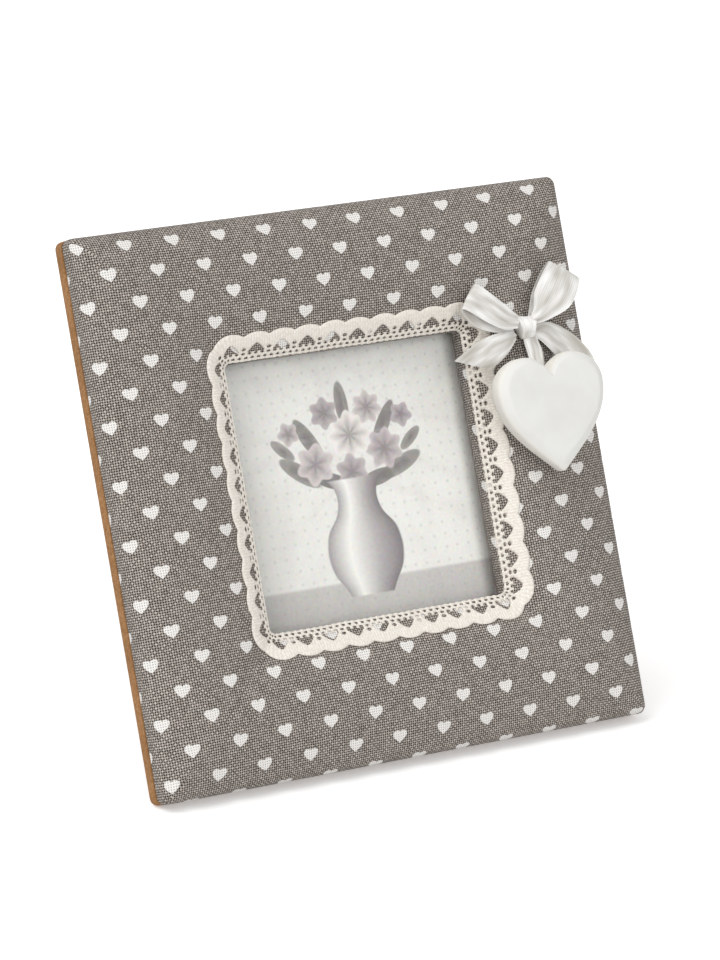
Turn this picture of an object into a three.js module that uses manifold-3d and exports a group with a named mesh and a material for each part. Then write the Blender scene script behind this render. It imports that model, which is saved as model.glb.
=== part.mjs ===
// A square picture frame in printed cotton over a padded board, with a lace-edged window,
// a satin bow that holds a wooden heart, and an easel strut behind. Millimetres, +Z up.
import * as THREE from "three";
import { mergeVertices } from "three/addons/utils/BufferGeometryUtils.js";
import loadManifold from "manifold-3d";

const wasm = await loadManifold();
wasm.setup();

// Clearances
const SEAT_GAP = 0.3; // between two pieces that rest on each other
const POCKET_PLAY = 0.5; // round the picture in its pocket
const SHANK_PLAY = 0.3; // round each pin, rivet and screw
const CUT_PAST = 1; // how far a cutting shape runs past the piece that it cuts

// Smoothness of round shapes
const ROUND_SIDES = 14; // round a pin, rivet, screw or knuckle
const CORNER_STEPS = 4; // round a corner of the frame
const ROLL_STEPS = 5; // over a rolled edge of the padding
const LACE_STEPS = 3; // along a scallop or eyelet
const RIBBON_STEPS = 5; // between two stations of a ribbon
const HEART_STEPS = 7; // along each curve of the heart
const EDGE_STEPS = 3; // over a rounded edge

// Stance
const LEAN = THREE.MathUtils.degToRad(20); // the frame leans back from upright
const STRUT_OPENING = THREE.MathUtils.degToRad(30); // from flat on the back to its stop

// Boards, wadding and cloth
const FRAME_SIDE = 180;
const CORNER_RADIUS = 2.6;
const BACK_FRAME_THICK = 4.5;
const FRONT_BOARD_THICK = 2.5;
const WADDING_THICK = 8; // at its crown, halfway across the border
const CLOTH_THICK = 0.6;
const CLOTH_TURN_IN = 10; // glued margin behind the front board
const CROWN_FLAT = 0.5; // level strip along the crown, between the two slopes of the padding
const LIP_PADDING = 2.1; // cloth and padding left in front of the board at the window's edge
const LIP_FULLNESS = 2.5; // how the padding fills up from that edge: 1 is straight, more is rounder

// Picture and what holds it
const PICTURE_SIDE = 90;
const PICTURE_LIP = 1.4; // how far the window's edge covers the picture
const WINDOW_SIDE = PICTURE_SIDE - 2 * PICTURE_LIP;
const WINDOW_CORNER = 1.5;
const PICTURE_THICK = 0.3;
const GLASS_THICK = 1.2;
const PANEL_THICK = 2;
const POCKET_CORNER = 1;

// Lace edging
const LACE_THICK = 0.8;
const LACE_WIDTH = 7.2; // from the inner edge to the hollows between scallops, seen from the front
const LACE_OVERLAP = 0.2; // how far the inner edge lies outside the window
const SCALLOP_PITCH = 9.6;
const SCALLOP_RISE = 1.2;
const EYELET_WIDTH = 4.6;
const EYELET_HEIGHT = 2.1;
const EYELET_FROM_EDGE = 3.4; // from the lace's inner edge to the eyelet's flat side
const DOT_RADIUS = 0.55; // small hole between two eyelets

// Turn buttons and their screws
const BUTTON_THICK = 0.8;
const BUTTON_REACH = 13; // from the screw to the centre of the tip
const BUTTON_PIVOT_RADIUS = 4.5;
const BUTTON_TIP_RADIUS = 3;
const BUTTON_FROM_POCKET = 7.5; // screw to the pocket's edge
const BUTTON_SPREAD = 48; // between the two screws of a side
const SCREW_RADIUS = 1.5;
const SCREW_DEPTH = 3.6; // how far the shank goes into the back frame
const SCREW_HEAD_RADIUS = 3;
const SCREW_HEAD_HEIGHT = 1.6;
const SCREW_SLOT_WIDTH = 0.7;
const SCREW_SLOT_LENGTH = 3.4;
const SCREW_SLOT_DEPTH = 0.8;

// Easel strut and its hinge
const LEAF_BELOW_PANEL_TOP = 2.5;
const HINGE_WIDTH = 30;
const HINGE_KNUCKLE = 12; // length of the middle knuckle
const LEAF_THICK = 0.6;
const FIXED_LEAF_LENGTH = 15;
const MOVING_LEAF_LENGTH = 24;
const STOP_TONGUE_LENGTH = 6.5;
const PIN_RADIUS = 0.7;
const PIN_OVERHANG = 0.6;
const STRUT_THICK = 2;
const STRUT_TOP_WIDTH = 36;
const STRUT_FOOT_WIDTH = 52;
const RIVET_RADIUS = 1.3;
const RIVET_HEAD_RADIUS = 2.6;
const RIVET_HEAD_HEIGHT = 1;
const RIVET_SPREAD = 19; // between the two rivets of a leaf
const RIVET_FROM_END = 4.5; // rivet to the free end of its leaf

// Satin bow, beside the upper right corner of the window
const RIBBON_WIDTH = 10;
const RIBBON_THICK = 0.5;
const KNOT_INSIDE_BORDER = 4.75; // knot centre, from the middle of the border towards the window
const KNOT_BELOW_WINDOW_TOP = 2.3;
const KNOT_WIDTH = 7;
const KNOT_HEIGHT = 7.4;
const KNOT_THICK = 6;
const KNOT_ROUND = 1.8;
const BOW_LIFT = 1.4; // the lowest ply of the bow above the crown of the cloth
const TAIL_RISE = 1.4; // highest wave of a tail above that ply
const HANGER_WIDTH = 5.4;
const HANGER_PINCH = 3.2; // its width where the knot grips it
const HANGER_DIP = 0.9; // how much closer to the cloth it is at the knot
const HANGER_BEHIND = 17; // glued length behind the heart, from the lobe tops

// Wooden heart
const HEART_WIDTH = 40;
const HEART_HEIGHT = 38.6;
const HEART_THICK = 9.5;
const HEART_ROUND = 4; // rounded edge, front and back
const HEART_FULLEST = 24; // height of its fullest part above the tip
const HEART_RIGHT_OF_KNOT = 1.6;
const HEART_BELOW_KNOT = 10.2; // lobe tops, from the knot's centre
const BEND_ABOVE_HEART = 1.9; // where its ribbon bends, above the lobe tops
const HEART_OVER_TAILS = 1.1; // back of the heart to the tails, at that bend
const HEART_TILT = THREE.MathUtils.degToRad(1); // its tip lies closer to the cloth

// Depths count forward from the rear face of the back frame
const turnInBack = BACK_FRAME_THICK + SEAT_GAP;
const boardBack = turnInBack + CLOTH_THICK + SEAT_GAP;
const boardFront = boardBack + FRONT_BOARD_THICK;
const wadBack = boardFront + SEAT_GAP;
const front = wadBack + WADDING_THICK + SEAT_GAP + CLOTH_THICK;
const glassFront = turnInBack - SEAT_GAP;
const pictureFront = glassFront - GLASS_THICK - SEAT_GAP;
const panelFront = pictureFront - PICTURE_THICK - SEAT_GAP;
const panelBack = panelFront - PANEL_THICK;
const rearmost = Math.min(0, panelBack);

const material = (color, roughness, metalness = 0) =>
  new THREE.MeshStandardMaterial({ color, roughness, metalness });
const rawBoard = material(0xa3784f, 0.85);
const hardboard = material(0x8a6444, 0.7);
const wadding = material(0xf0eee8, 0.95);
const printedCotton = material(0x968d84, 0.9);
const laceCotton = material(0xf0e8de, 0.9);
const pictureGlass = material(0xdfe4e2, 0.05);
const photoPaper = material(0xd6d6d2, 0.5);
const zincSteel = material(0xb9bcbe, 0.35, 1);
const satin = material(0xf1eee6, 0.4);
const paintedWood = material(0xe9e9e4, 0.55);

function addMesh(parent, name, geometry, look) {
  const mesh = new THREE.Mesh(geometry, look);
  mesh.name = name;
  parent.add(mesh);
  return mesh;
}

// Joining and cutting closed shapes
function toSolid(geometry) {
  const bare = geometry.clone();
  bare.deleteAttribute("normal");
  bare.deleteAttribute("uv");
  const merged = mergeVertices(bare);
  return new wasm.Manifold(new wasm.Mesh({
    numProp: 3,
    vertProperties: new Float32Array(merged.attributes.position.array),
    triVerts: new Uint32Array(merged.index.array),
  }));
}

function cut(geometry, tools) {
  return tools.reduce((solid, tool) => solid.subtract(toSolid(tool)), toSolid(geometry));
}

function join(solid, pieces) {
  return pieces.reduce((whole, piece) => whole.add(toSolid(piece)), solid);
}

function toGeometry(solid) {
  const mesh = solid.getMesh();
  const geometry = new THREE.BufferGeometry();
  geometry.setAttribute("position", new THREE.BufferAttribute(mesh.vertProperties, 3));
  geometry.setIndex(new THREE.BufferAttribute(mesh.triVerts, 1));
  geometry.computeVertexNormals();
  return geometry;
}

// Basic shapes
function block(x, y, z) {
  const size = [x[1] - x[0], y[1] - y[0], z[1] - z[0]];
  return new THREE.BoxGeometry(...size).translate((x[0] + x[1]) / 2, (y[0] + y[1]) / 2, (z[0] + z[1]) / 2);
}

function rodAlongX(radius, x) {
  return new THREE.CylinderGeometry(radius, radius, x[1] - x[0], ROUND_SIDES)
    .rotateZ(Math.PI / 2)
    .translate((x[0] + x[1]) / 2, 0, 0);
}

function plate(shape, back, thick, curveSegments = CORNER_STEPS) {
  return new THREE.ExtrudeGeometry(shape, { depth: thick, bevelEnabled: false, curveSegments })
    .translate(0, 0, back);
}

function squareOutline(Outline, half, radius) {
  const inner = half - radius;
  const outline = new Outline();
  outline.absarc(inner, -inner, radius, -Math.PI / 2, 0);
  outline.absarc(inner, inner, radius, 0, Math.PI / 2);
  outline.absarc(-inner, inner, radius, Math.PI / 2, Math.PI);
  outline.absarc(-inner, -inner, radius, Math.PI, Math.PI * 1.5);
  outline.closePath();
  return outline;
}

function roundHole(x, y, radius) {
  return new THREE.Path().absarc(x, y, radius, 0, Math.PI * 2);
}

// A closed skin over cross-sections of equal point count, either a ring or a strip with two ends
function skin(sections, isRing) {
  const count = sections[0].length;
  const positions = sections.flat().flatMap((point) => point.toArray());
  const index = [];
  const spans = isRing ? sections.length : sections.length - 1;
  for (let s = 0; s < spans; s++) {
    const here = s * count;
    const next = ((s + 1) % sections.length) * count;
    for (let i = 0; i < count; i++) {
      const j = (i + 1) % count;
      index.push(here + i, here + j, next + j, here + i, next + j, next + i);
    }
  }
  if (!isRing) {
    const last = (sections.length - 1) * count;
    const startCentre = sections.length * count;
    for (const end of [sections[0], sections.at(-1)]) {
      const centre = end.reduce((sum, point) => sum.add(point), new THREE.Vector3()).divideScalar(count);
      positions.push(...centre.toArray());
    }
    for (let i = 0; i < count; i++) {
      const j = (i + 1) % count;
      index.push(startCentre, j, i, startCentre + 1, last + i, last + j);
    }
  }
  const geometry = new THREE.BufferGeometry();
  geometry.setAttribute("position", new THREE.Float32BufferAttribute(positions, 3));
  geometry.setIndex(index);
  geometry.computeVertexNormals();
  return geometry;
}

// Corner radius of a square ring at any distance from the middle, between window and outline
function cornerAt(half) {
  const share = (half - WINDOW_SIDE / 2) / (FRAME_SIDE / 2 - WINDOW_SIDE / 2);
  return THREE.MathUtils.lerp(WINDOW_CORNER, CORNER_RADIUS, share);
}

// A square ring with the given cross-section, listed as [distance from the middle, depth]
function squareRing(profile) {
  const sections = [];
  for (let corner = 0; corner < 4; corner++) {
    for (let step = 0; step <= CORNER_STEPS; step++) {
      const turn = (corner + step / CORNER_STEPS) * Math.PI / 2;
      const side = (corner + 0.5) * Math.PI / 2;
      sections.push(profile.map(([half, depth]) => {
        const radius = cornerAt(half);
        const centre = (half - radius) * Math.SQRT2;
        return new THREE.Vector3(
          centre * Math.cos(side) + radius * Math.cos(turn),
          centre * Math.sin(side) + radius * Math.sin(turn),
          depth,
        );
      }));
    }
  }
  return skin(sections, true);
}

// The rounded front of padding or cloth, from the window's edge to the outline
function paddedFront(inset, base) {
  const crown = front - inset;
  const lip = boardFront + LIP_PADDING - inset;
  const slope = (FRAME_SIDE - WINDOW_SIDE) / 4 - CROWN_FLAT / 2 - inset;
  const atWindow = [];
  const atOutline = [];
  for (let i = 0; i <= ROLL_STEPS; i++) {
    const share = i / ROLL_STEPS;
    const filled = 1 - (1 - share) ** LIP_FULLNESS;
    atWindow.push([WINDOW_SIDE / 2 + inset + slope * share, lip + (crown - lip) * filled]);
    const angle = share * Math.PI / 2;
    const inward = 1 - Math.cos(angle);
    atOutline.push([FRAME_SIDE / 2 - inset - slope * inward, base + (crown - base) * Math.sin(angle)]);
  }
  return [...atWindow, ...atOutline.reverse()];
}

function clothProfile() {
  const face = (inset) => [
    [WINDOW_SIDE / 2 + CLOTH_TURN_IN, turnInBack + inset],
    [WINDOW_SIDE / 2 + inset, turnInBack + inset],
    ...paddedFront(inset, boardFront),
    [FRAME_SIDE / 2 - inset, turnInBack + inset],
    [FRAME_SIDE / 2 - CLOTH_TURN_IN, turnInBack + inset],
  ];
  return [...face(0), ...face(CLOTH_THICK).reverse()];
}

// Depth of the cloth's face at a distance from the middle, read off its faceted profile
const clothFace = paddedFront(0, boardFront);
function clothDepth(half) {
  const next = clothFace.findIndex(([edge]) => edge >= half);
  const [[from, low], [to, high]] = clothFace.slice(next - 1, next + 1);
  return THREE.MathUtils.mapLinear(half, from, to, low, high);
}

// Cotton lace laid on the slope to the window: scallops outside, one eyelet in each, a dot between eyelets
function laceRing() {
  const inner = WINDOW_SIDE / 2 + LACE_OVERLAP;
  const hollow = inner + LACE_WIDTH;
  const perSide = Math.round((2 * inner) / SCALLOP_PITCH);
  const run = perSide * SCALLOP_PITCH;
  const eyeletBase = inner + EYELET_FROM_EDGE;
  const atSide = (side, along, out) =>
    new THREE.Vector2(out, along).rotateAround(new THREE.Vector2(), side * Math.PI / 2);
  const outline = new THREE.Shape();
  const firstHollow = atSide(0, -run / 2, hollow);
  outline.moveTo(firstHollow.x, firstHollow.y);
  const holes = [];
  for (let side = 0; side < 4; side++) {
    const place = (along, out) => atSide(side, along, out);
    for (let i = 0; i < perSide; i++) {
      const start = -run / 2 + i * SCALLOP_PITCH;
      const middle = start + SCALLOP_PITCH / 2;
      const peak = place(middle, hollow + 2 * SCALLOP_RISE);
      const end = place(start + SCALLOP_PITCH, hollow);
      outline.quadraticCurveTo(peak.x, peak.y, end.x, end.y);
      const left = place(middle - EYELET_WIDTH / 2, eyeletBase);
      const right = place(middle + EYELET_WIDTH / 2, eyeletBase);
      const crest = place(middle, eyeletBase + 2 * EYELET_HEIGHT);
      const eyelet = new THREE.Shape();
      eyelet.moveTo(left.x, left.y).quadraticCurveTo(crest.x, crest.y, right.x, right.y);
      holes.push(eyelet);
      if (i > 0) {
        const dot = place(start, eyeletBase + EYELET_HEIGHT / 2);
        holes.push(new THREE.Shape().absarc(dot.x, dot.y, DOT_RADIUS, 0, Math.PI * 2));
      }
    }
    const corner = place(hollow + SCALLOP_RISE, hollow + SCALLOP_RISE);
    const next = side < 3 ? atSide(side + 1, -run / 2, hollow) : firstHollow;
    outline.quadraticCurveTo(corner.x, corner.y, next.x, next.y);
  }
  outline.holes.push(squareOutline(THREE.Path, inner, WINDOW_CORNER));
  const tall = front + LACE_THICK + CUT_PAST - boardFront;
  const punches = holes.map((hole) => plate(hole, boardFront - CUT_PAST, tall + 2 * CUT_PAST, LACE_STEPS));
  const pattern = cut(plate(outline, boardFront, tall, LACE_STEPS), punches);

  const seat = SEAT_GAP * Math.SQRT2; // along the depth, because the cloth slopes
  const outer = hollow + SCALLOP_RISE + CUT_PAST;
  const folds = clothFace.map(([half]) => half).filter((half) => half > inner && half < outer);
  const rows = [inner, ...folds, outer];
  const under = rows.map((half) => [half, clothDepth(half) + seat]);
  const over = rows.map((half) => [half, clothDepth(half) + seat + LACE_THICK]);
  const strip = squareRing([...over, ...under.reverse()]);
  return toGeometry(toSolid(strip).intersect(pattern));
}

// Ribbon laid along stations [x, y, height above the cloth, half width as x, y]
function ribbon(stations) {
  const places = stations.map(([x, y, height]) => new THREE.Vector3(x, y, height));
  const halves = stations.map(([, , , x, y]) => new THREE.Vector3(x, y, 0));
  const middle = new THREE.CatmullRomCurve3(places);
  const across = new THREE.CatmullRomCurve3(halves);
  const steps = (stations.length - 1) * RIBBON_STEPS;
  const sections = [];
  for (let s = 0; s <= steps; s++) {
    const centre = middle.getPoint(s / steps);
    const half = across.getPoint(s / steps);
    const face = middle.getTangent(s / steps).cross(half).setLength(RIBBON_THICK / 2);
    sections.push([
      centre.clone().add(half).sub(face),
      centre.clone().add(half).add(face),
      centre.clone().sub(half).add(face),
      centre.clone().sub(half).sub(face),
    ]);
  }
  return skin(sections, false);
}

// Heart outline with its tip at the origin, drawn from the cleft round the right lobe first
function heartShape() {
  const half = HEART_WIDTH / 2;
  const top = HEART_HEIGHT;
  const shape = new THREE.Shape();
  shape.moveTo(0, 0.84 * top);
  shape.bezierCurveTo(0.09 * half, 0.95 * top, 0.31 * half, top, 0.42 * half, top);
  shape.bezierCurveTo(0.71 * half, top, half, 0.9 * top, half, 0.73 * top);
  shape.bezierCurveTo(half, 0.42 * top, 0.49 * half, 0.23 * top, 0.05 * half, 0.02 * top);
  shape.quadraticCurveTo(0, 0, -0.05 * half, 0.02 * top);
  shape.bezierCurveTo(-0.49 * half, 0.23 * top, -half, 0.42 * top, -half, 0.73 * top);
  shape.bezierCurveTo(-half, 0.9 * top, -0.71 * half, top, -0.42 * half, top);
  shape.bezierCurveTo(-0.31 * half, top, -0.09 * half, 0.95 * top, 0, 0.84 * top);
  return shape;
}

// A slab with rounded edges: the outline drawn in towards its centre near both faces
function roundedSlab(shape, centre, thick, round, curveSegments) {
  const outline = shape.getPoints(curveSegments).slice(0, -1);
  if (THREE.ShapeUtils.isClockWise(outline)) outline.reverse();
  const half = Math.max(...outline.map((point) => point.x - centre.x));
  const rings = [];
  for (let i = 0; i <= EDGE_STEPS; i++) {
    const angle = (i / EDGE_STEPS) * Math.PI / 2;
    const scale = 1 - (round * (1 - Math.sin(angle))) / half;
    const depth = round * (1 - Math.cos(angle));
    const ring = outline.map((point) => point.clone().sub(centre).multiplyScalar(scale).add(centre));
    rings.push({ ring, depth });
  }
  const back = rings.map(({ ring, depth }) => ring.map(({ x, y }) => new THREE.Vector3(x, y, depth)));
  const face = rings.map(({ ring, depth }) => ring.map(({ x, y }) => new THREE.Vector3(x, y, thick - depth)));
  return skin([...back, ...face.reverse()], false);
}

// A domed head on a shank, with its axis along Z and the head towards the rear
function headedPin(shankRadius, shankEnd, headRadius, headSeat, headHeight) {
  const profile = [
    new THREE.Vector2(0, -shankEnd),
    new THREE.Vector2(shankRadius, -shankEnd),
    new THREE.Vector2(shankRadius, -headSeat),
  ];
  for (let i = 0; i <= EDGE_STEPS; i++) {
    const angle = (i / EDGE_STEPS) * Math.PI / 2;
    const radius = i < EDGE_STEPS ? headRadius * Math.cos(angle) : 0;
    profile.push(new THREE.Vector2(radius, -headSeat + headHeight * Math.sin(angle)));
  }
  return new THREE.LatheGeometry(profile, ROUND_SIDES).rotateX(-Math.PI / 2);
}

const leaning = new THREE.Group();

// Boards, wadding and printed cloth
const pocketHalf = PICTURE_SIDE / 2 + POCKET_PLAY;
const buttonX = pocketHalf + BUTTON_FROM_POCKET;
const buttonY = BUTTON_SPREAD / 2;
const buttonPlaces = [
  ["left_upper", -buttonX, buttonY],
  ["left_lower", -buttonX, -buttonY],
  ["right_upper", buttonX, buttonY],
  ["right_lower", buttonX, -buttonY],
];
const backFrame = squareOutline(THREE.Shape, FRAME_SIDE / 2, CORNER_RADIUS);
backFrame.holes.push(squareOutline(THREE.Path, pocketHalf, POCKET_CORNER));
for (const [, x, y] of buttonPlaces) {
  backFrame.holes.push(roundHole(x, y, SCREW_RADIUS + SHANK_PLAY));
}
addMesh(leaning, "back_frame", plate(backFrame, 0, BACK_FRAME_THICK), rawBoard);

const boardInset = CLOTH_THICK + SEAT_GAP;
const boardHalf = FRAME_SIDE / 2 - boardInset;
const boardWindow = WINDOW_SIDE / 2 + boardInset;
const frontBoard = squareOutline(THREE.Shape, boardHalf, cornerAt(boardHalf));
frontBoard.holes.push(squareOutline(THREE.Path, boardWindow, cornerAt(boardWindow)));
addMesh(leaning, "front_board", plate(frontBoard, boardBack, FRONT_BOARD_THICK), rawBoard);
const padding = [[boardWindow, wadBack], ...paddedFront(boardInset, wadBack)];
addMesh(leaning, "wadding", squareRing(padding), wadding);
addMesh(leaning, "cloth_cover", squareRing(clothProfile()), printedCotton);
addMesh(leaning, "lace_edging", laceRing(), laceCotton);

// Glass, picture and the panel that closes the pocket
const pictureSquare = squareOutline(THREE.Shape, PICTURE_SIDE / 2, POCKET_CORNER);
const glass = plate(pictureSquare, glassFront - GLASS_THICK, GLASS_THICK);
addMesh(leaning, "glass_pane", glass, pictureGlass);
const print = plate(pictureSquare, pictureFront - PICTURE_THICK, PICTURE_THICK);
addMesh(leaning, "picture_print", print, photoPaper);

const leafFront = panelBack - SEAT_GAP;
const strutFront = rearmost - SEAT_GAP;
const strutRear = strutFront - STRUT_THICK;
const movingLeafRear = strutRear - SEAT_GAP - LEAF_THICK;
const knuckleRadius = (leafFront - movingLeafRear) / 2;
const axisDepth = (leafFront + movingLeafRear) / 2;
const axisHeight = PICTURE_SIDE / 2 - LEAF_BELOW_PANEL_TOP - FIXED_LEAF_LENGTH;
const fixedRivetY = FIXED_LEAF_LENGTH - RIVET_FROM_END;
const movingRivetY = RIVET_FROM_END - MOVING_LEAF_LENGTH;
const rivetX = RIVET_SPREAD / 2;
const rivetHole = RIVET_RADIUS + SHANK_PLAY;

const panel = squareOutline(THREE.Shape, PICTURE_SIDE / 2, POCKET_CORNER);
for (const x of [-rivetX, rivetX]) {
  panel.holes.push(roundHole(x, axisHeight + fixedRivetY, rivetHole));
}
addMesh(leaning, "back_panel", plate(panel, panelBack, PANEL_THICK), hardboard);

// Turn buttons, each swivelling on its screw
for (const [place, x, y] of buttonPlaces) {
  const pivot = new THREE.Group();
  pivot.name = `turn_button_${place}_pivot`;
  pivot.position.set(x, y, rearmost - SEAT_GAP);
  pivot.rotation.z = x > 0 ? Math.PI : 0;
  leaning.add(pivot);
  const blade = new THREE.Shape();
  blade.absarc(0, 0, BUTTON_PIVOT_RADIUS, Math.PI / 2, Math.PI * 1.5);
  blade.absarc(BUTTON_REACH, 0, BUTTON_TIP_RADIUS, -Math.PI / 2, Math.PI / 2);
  blade.closePath();
  blade.holes.push(roundHole(0, 0, SCREW_RADIUS + SHANK_PLAY));
  addMesh(pivot, `turn_button_${place}`, plate(blade, -BUTTON_THICK, BUTTON_THICK), zincSteel);

  const headSeat = -BUTTON_THICK - SEAT_GAP;
  const screw = headedPin(SCREW_RADIUS, SCREW_DEPTH, SCREW_HEAD_RADIUS, headSeat, SCREW_HEAD_HEIGHT);
  const headTop = headSeat - SCREW_HEAD_HEIGHT;
  const slotDepth = [headTop - CUT_PAST, headTop + SCREW_SLOT_DEPTH];
  const slotLong = [-SCREW_SLOT_LENGTH / 2, SCREW_SLOT_LENGTH / 2];
  const slotWide = [-SCREW_SLOT_WIDTH / 2, SCREW_SLOT_WIDTH / 2];
  const cross = [block(slotLong, slotWide, slotDepth), block(slotWide, slotLong, slotDepth)];
  addMesh(leaning, `button_screw_${place}`, toGeometry(cut(screw, cross)), zincSteel)
    .position.copy(pivot.position);
}

// Easel hinge: a leaf on the panel, a leaf on the strut, and the pin between them
const hinge = new THREE.Group();
hinge.position.set(0, axisHeight, axisDepth);
leaning.add(hinge);
const strutPivot = new THREE.Group();
strutPivot.name = "strut_pivot";
strutPivot.rotation.x = STRUT_OPENING;
hinge.add(strutPivot);

const hingeHalf = HINGE_WIDTH / 2;
const knuckleHalf = HINGE_KNUCKLE / 2;
const knuckleClear = knuckleRadius + SEAT_GAP;
const middleSpan = [-knuckleHalf - SEAT_GAP, knuckleHalf + SEAT_GAP];
const outerSpans = [[-hingeHalf, middleSpan[0]], [middleSpan[1], hingeHalf]];
const pinBore = rodAlongX(PIN_RADIUS + SHANK_PLAY, [-hingeHalf - CUT_PAST, hingeHalf + CUT_PAST]);
const boreLength = 2 * (knuckleRadius + CUT_PAST);
const rivetBores = (y) => [-rivetX, rivetX].map((x) =>
  new THREE.CylinderGeometry(rivetHole, rivetHole, boreLength, ROUND_SIDES)
    .rotateX(Math.PI / 2)
    .translate(x, y, 0));

const fixedPlate = block(
  [-hingeHalf, hingeHalf],
  [0, FIXED_LEAF_LENGTH],
  [knuckleRadius - LEAF_THICK, knuckleRadius],
);
const middleNotch = block(middleSpan, [-knuckleClear, knuckleClear], [0, knuckleClear]);
const fixedLeaf = join(
  cut(fixedPlate, [middleNotch, ...rivetBores(fixedRivetY)]),
  outerSpans.map((span) => rodAlongX(knuckleRadius, span)),
).subtract(toSolid(pinBore));
addMesh(hinge, "hinge_fixed_leaf", toGeometry(fixedLeaf), zincSteel);

const movingPlate = block(
  [-hingeHalf, hingeHalf],
  [-MOVING_LEAF_LENGTH, 0],
  [-knuckleRadius, -knuckleRadius + LEAF_THICK],
);
const outerNotches = outerSpans.map(([x0, x1]) => block(
  [x0 > 0 ? x0 - SEAT_GAP : x0 - CUT_PAST, x1 < 0 ? x1 + SEAT_GAP : x1 + CUT_PAST],
  [-knuckleClear, knuckleClear],
  [-knuckleClear, 0],
));
const tongueFront = knuckleRadius - LEAF_THICK - SEAT_GAP;
const stopTongue = block(
  [-knuckleHalf, knuckleHalf],
  [PIN_RADIUS + SHANK_PLAY, STOP_TONGUE_LENGTH],
  [tongueFront - LEAF_THICK, tongueFront],
).rotateX(-STRUT_OPENING);
const movingLeaf = join(
  cut(movingPlate, [...outerNotches, ...rivetBores(movingRivetY)]),
  [rodAlongX(knuckleRadius, [-knuckleHalf, knuckleHalf]), stopTongue],
).subtract(toSolid(pinBore));
addMesh(strutPivot, "hinge_moving_leaf", toGeometry(movingLeaf), zincSteel);
const pin = rodAlongX(PIN_RADIUS, [-hingeHalf - PIN_OVERHANG, hingeHalf + PIN_OVERHANG]);
addMesh(hinge, "hinge_pin", pin, zincSteel);

// Strut: a tapered board, its foot cut level with the surface that the frame stands on
const axisAboveFloor = (axisHeight + FRAME_SIDE / 2) * Math.cos(LEAN) + axisDepth * Math.sin(LEAN);
const strutSlope = STRUT_OPENING - LEAN;
const strutTop = -knuckleRadius - 2 * SEAT_GAP;
const strutLength = axisAboveFloor / Math.cos(strutSlope) + STRUT_THICK;
const strutOutline = new THREE.Shape([
  new THREE.Vector2(-STRUT_TOP_WIDTH / 2, strutTop),
  new THREE.Vector2(-STRUT_FOOT_WIDTH / 2, -strutLength),
  new THREE.Vector2(STRUT_FOOT_WIDTH / 2, -strutLength),
  new THREE.Vector2(STRUT_TOP_WIDTH / 2, strutTop),
]);
for (const x of [-rivetX, rivetX]) {
  strutOutline.holes.push(roundHole(x, movingRivetY, rivetHole));
}
const belowFloor = block(
  [-STRUT_FOOT_WIDTH, STRUT_FOOT_WIDTH],
  [-axisAboveFloor - FRAME_SIDE, -axisAboveFloor],
  [-FRAME_SIDE, FRAME_SIDE],
).rotateX(-strutSlope);
const strut = cut(plate(strutOutline, strutRear - axisDepth, STRUT_THICK), [belowFloor]);
addMesh(strutPivot, "easel_strut", toGeometry(strut), hardboard);

// Rivets: two through the panel, two through the strut
const fixedHeadSeat = knuckleRadius - LEAF_THICK - SEAT_GAP;
const movingHeadSeat = -knuckleRadius - SEAT_GAP;
const panelTail = panelFront - SEAT_GAP - axisDepth;
const strutTail = strutFront - SEAT_GAP - axisDepth;
const rivet = (tail, headSeat) =>
  headedPin(RIVET_RADIUS, tail, RIVET_HEAD_RADIUS, headSeat, RIVET_HEAD_HEIGHT);
for (const [side, x] of [["left", -rivetX], ["right", rivetX]]) {
  const panelRivet = rivet(panelTail, fixedHeadSeat).translate(x, fixedRivetY, 0);
  addMesh(hinge, `panel_rivet_${side}`, panelRivet, zincSteel);
  const strutRivet = rivet(strutTail, movingHeadSeat).translate(x, movingRivetY, 0);
  addMesh(strutPivot, `strut_rivet_${side}`, strutRivet, zincSteel);
}

// Bow: a knot on the cloth, two loops and two tails that come out of it
const knotX = (WINDOW_SIDE + FRAME_SIDE) / 4 - KNOT_INSIDE_BORDER;
const knotY = WINDOW_SIDE / 2 - KNOT_BELOW_WINDOW_TOP;
const bow = new THREE.Group();
bow.position.set(knotX, knotY, front);
leaning.add(bow);
const lowestPly = BOW_LIFT + RIBBON_THICK / 2;
const atKnot = (KNOT_WIDTH / 2 + SEAT_GAP) / RIBBON_WIDTH;
const crest = TAIL_RISE / RIBBON_WIDTH;

// Stations in ribbon widths from the knot: [x, y, rise above its lowest ply, half width as x, y]
const fromKnot = (stations) => stations.map((station) => {
  const [x, y, rise, halfX, halfY] = station.map((share) => share * RIBBON_WIDTH);
  return [x, y, lowestPly + rise, halfX, halfY];
});
const leftLoop = fromKnot([
  [-atKnot, 0.12, 0.04, 0, 0.18],
  [-1.1, 0.4, 0.01, 0.25, 0.4],
  [-1.7, 0.82, 0.05, 0.31, 0.41],
  [-1.86, 1.08, 0.21, 0.3, 0.36],
  [-1.62, 1.06, 0.39, 0.27, 0.32],
  [-1.02, 0.64, 0.46, 0.2, 0.35],
  [-atKnot, 0.2, 0.29, 0, 0.2],
]);
const rightLoop = fromKnot([
  [atKnot, 0.16, 0.04, 0, -0.16],
  [0.88, 0.74, 0.1, 0.42, -0.33],
  [1.47, 1.4, 0.27, 0.48, -0.34],
  [1.7, 1.66, 0.45, 0.48, -0.33],
  [1.44, 1.36, 0.63, 0.55, -0.34],
  [0.94, 0.72, 0.64, 0.52, -0.32],
  [atKnot, 0.18, 0.32, 0, -0.16],
]);
const leftTail = fromKnot([
  [-atKnot, -0.22, 0.08, 0, -0.13],
  [-0.94, -0.48, 0.06, 0.19, -0.36],
  [-1.54, -0.73, 0.02, 0.32, -0.39],
  [-2.09, -0.98, 0, 0.6, -0.21],
]);
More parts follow.
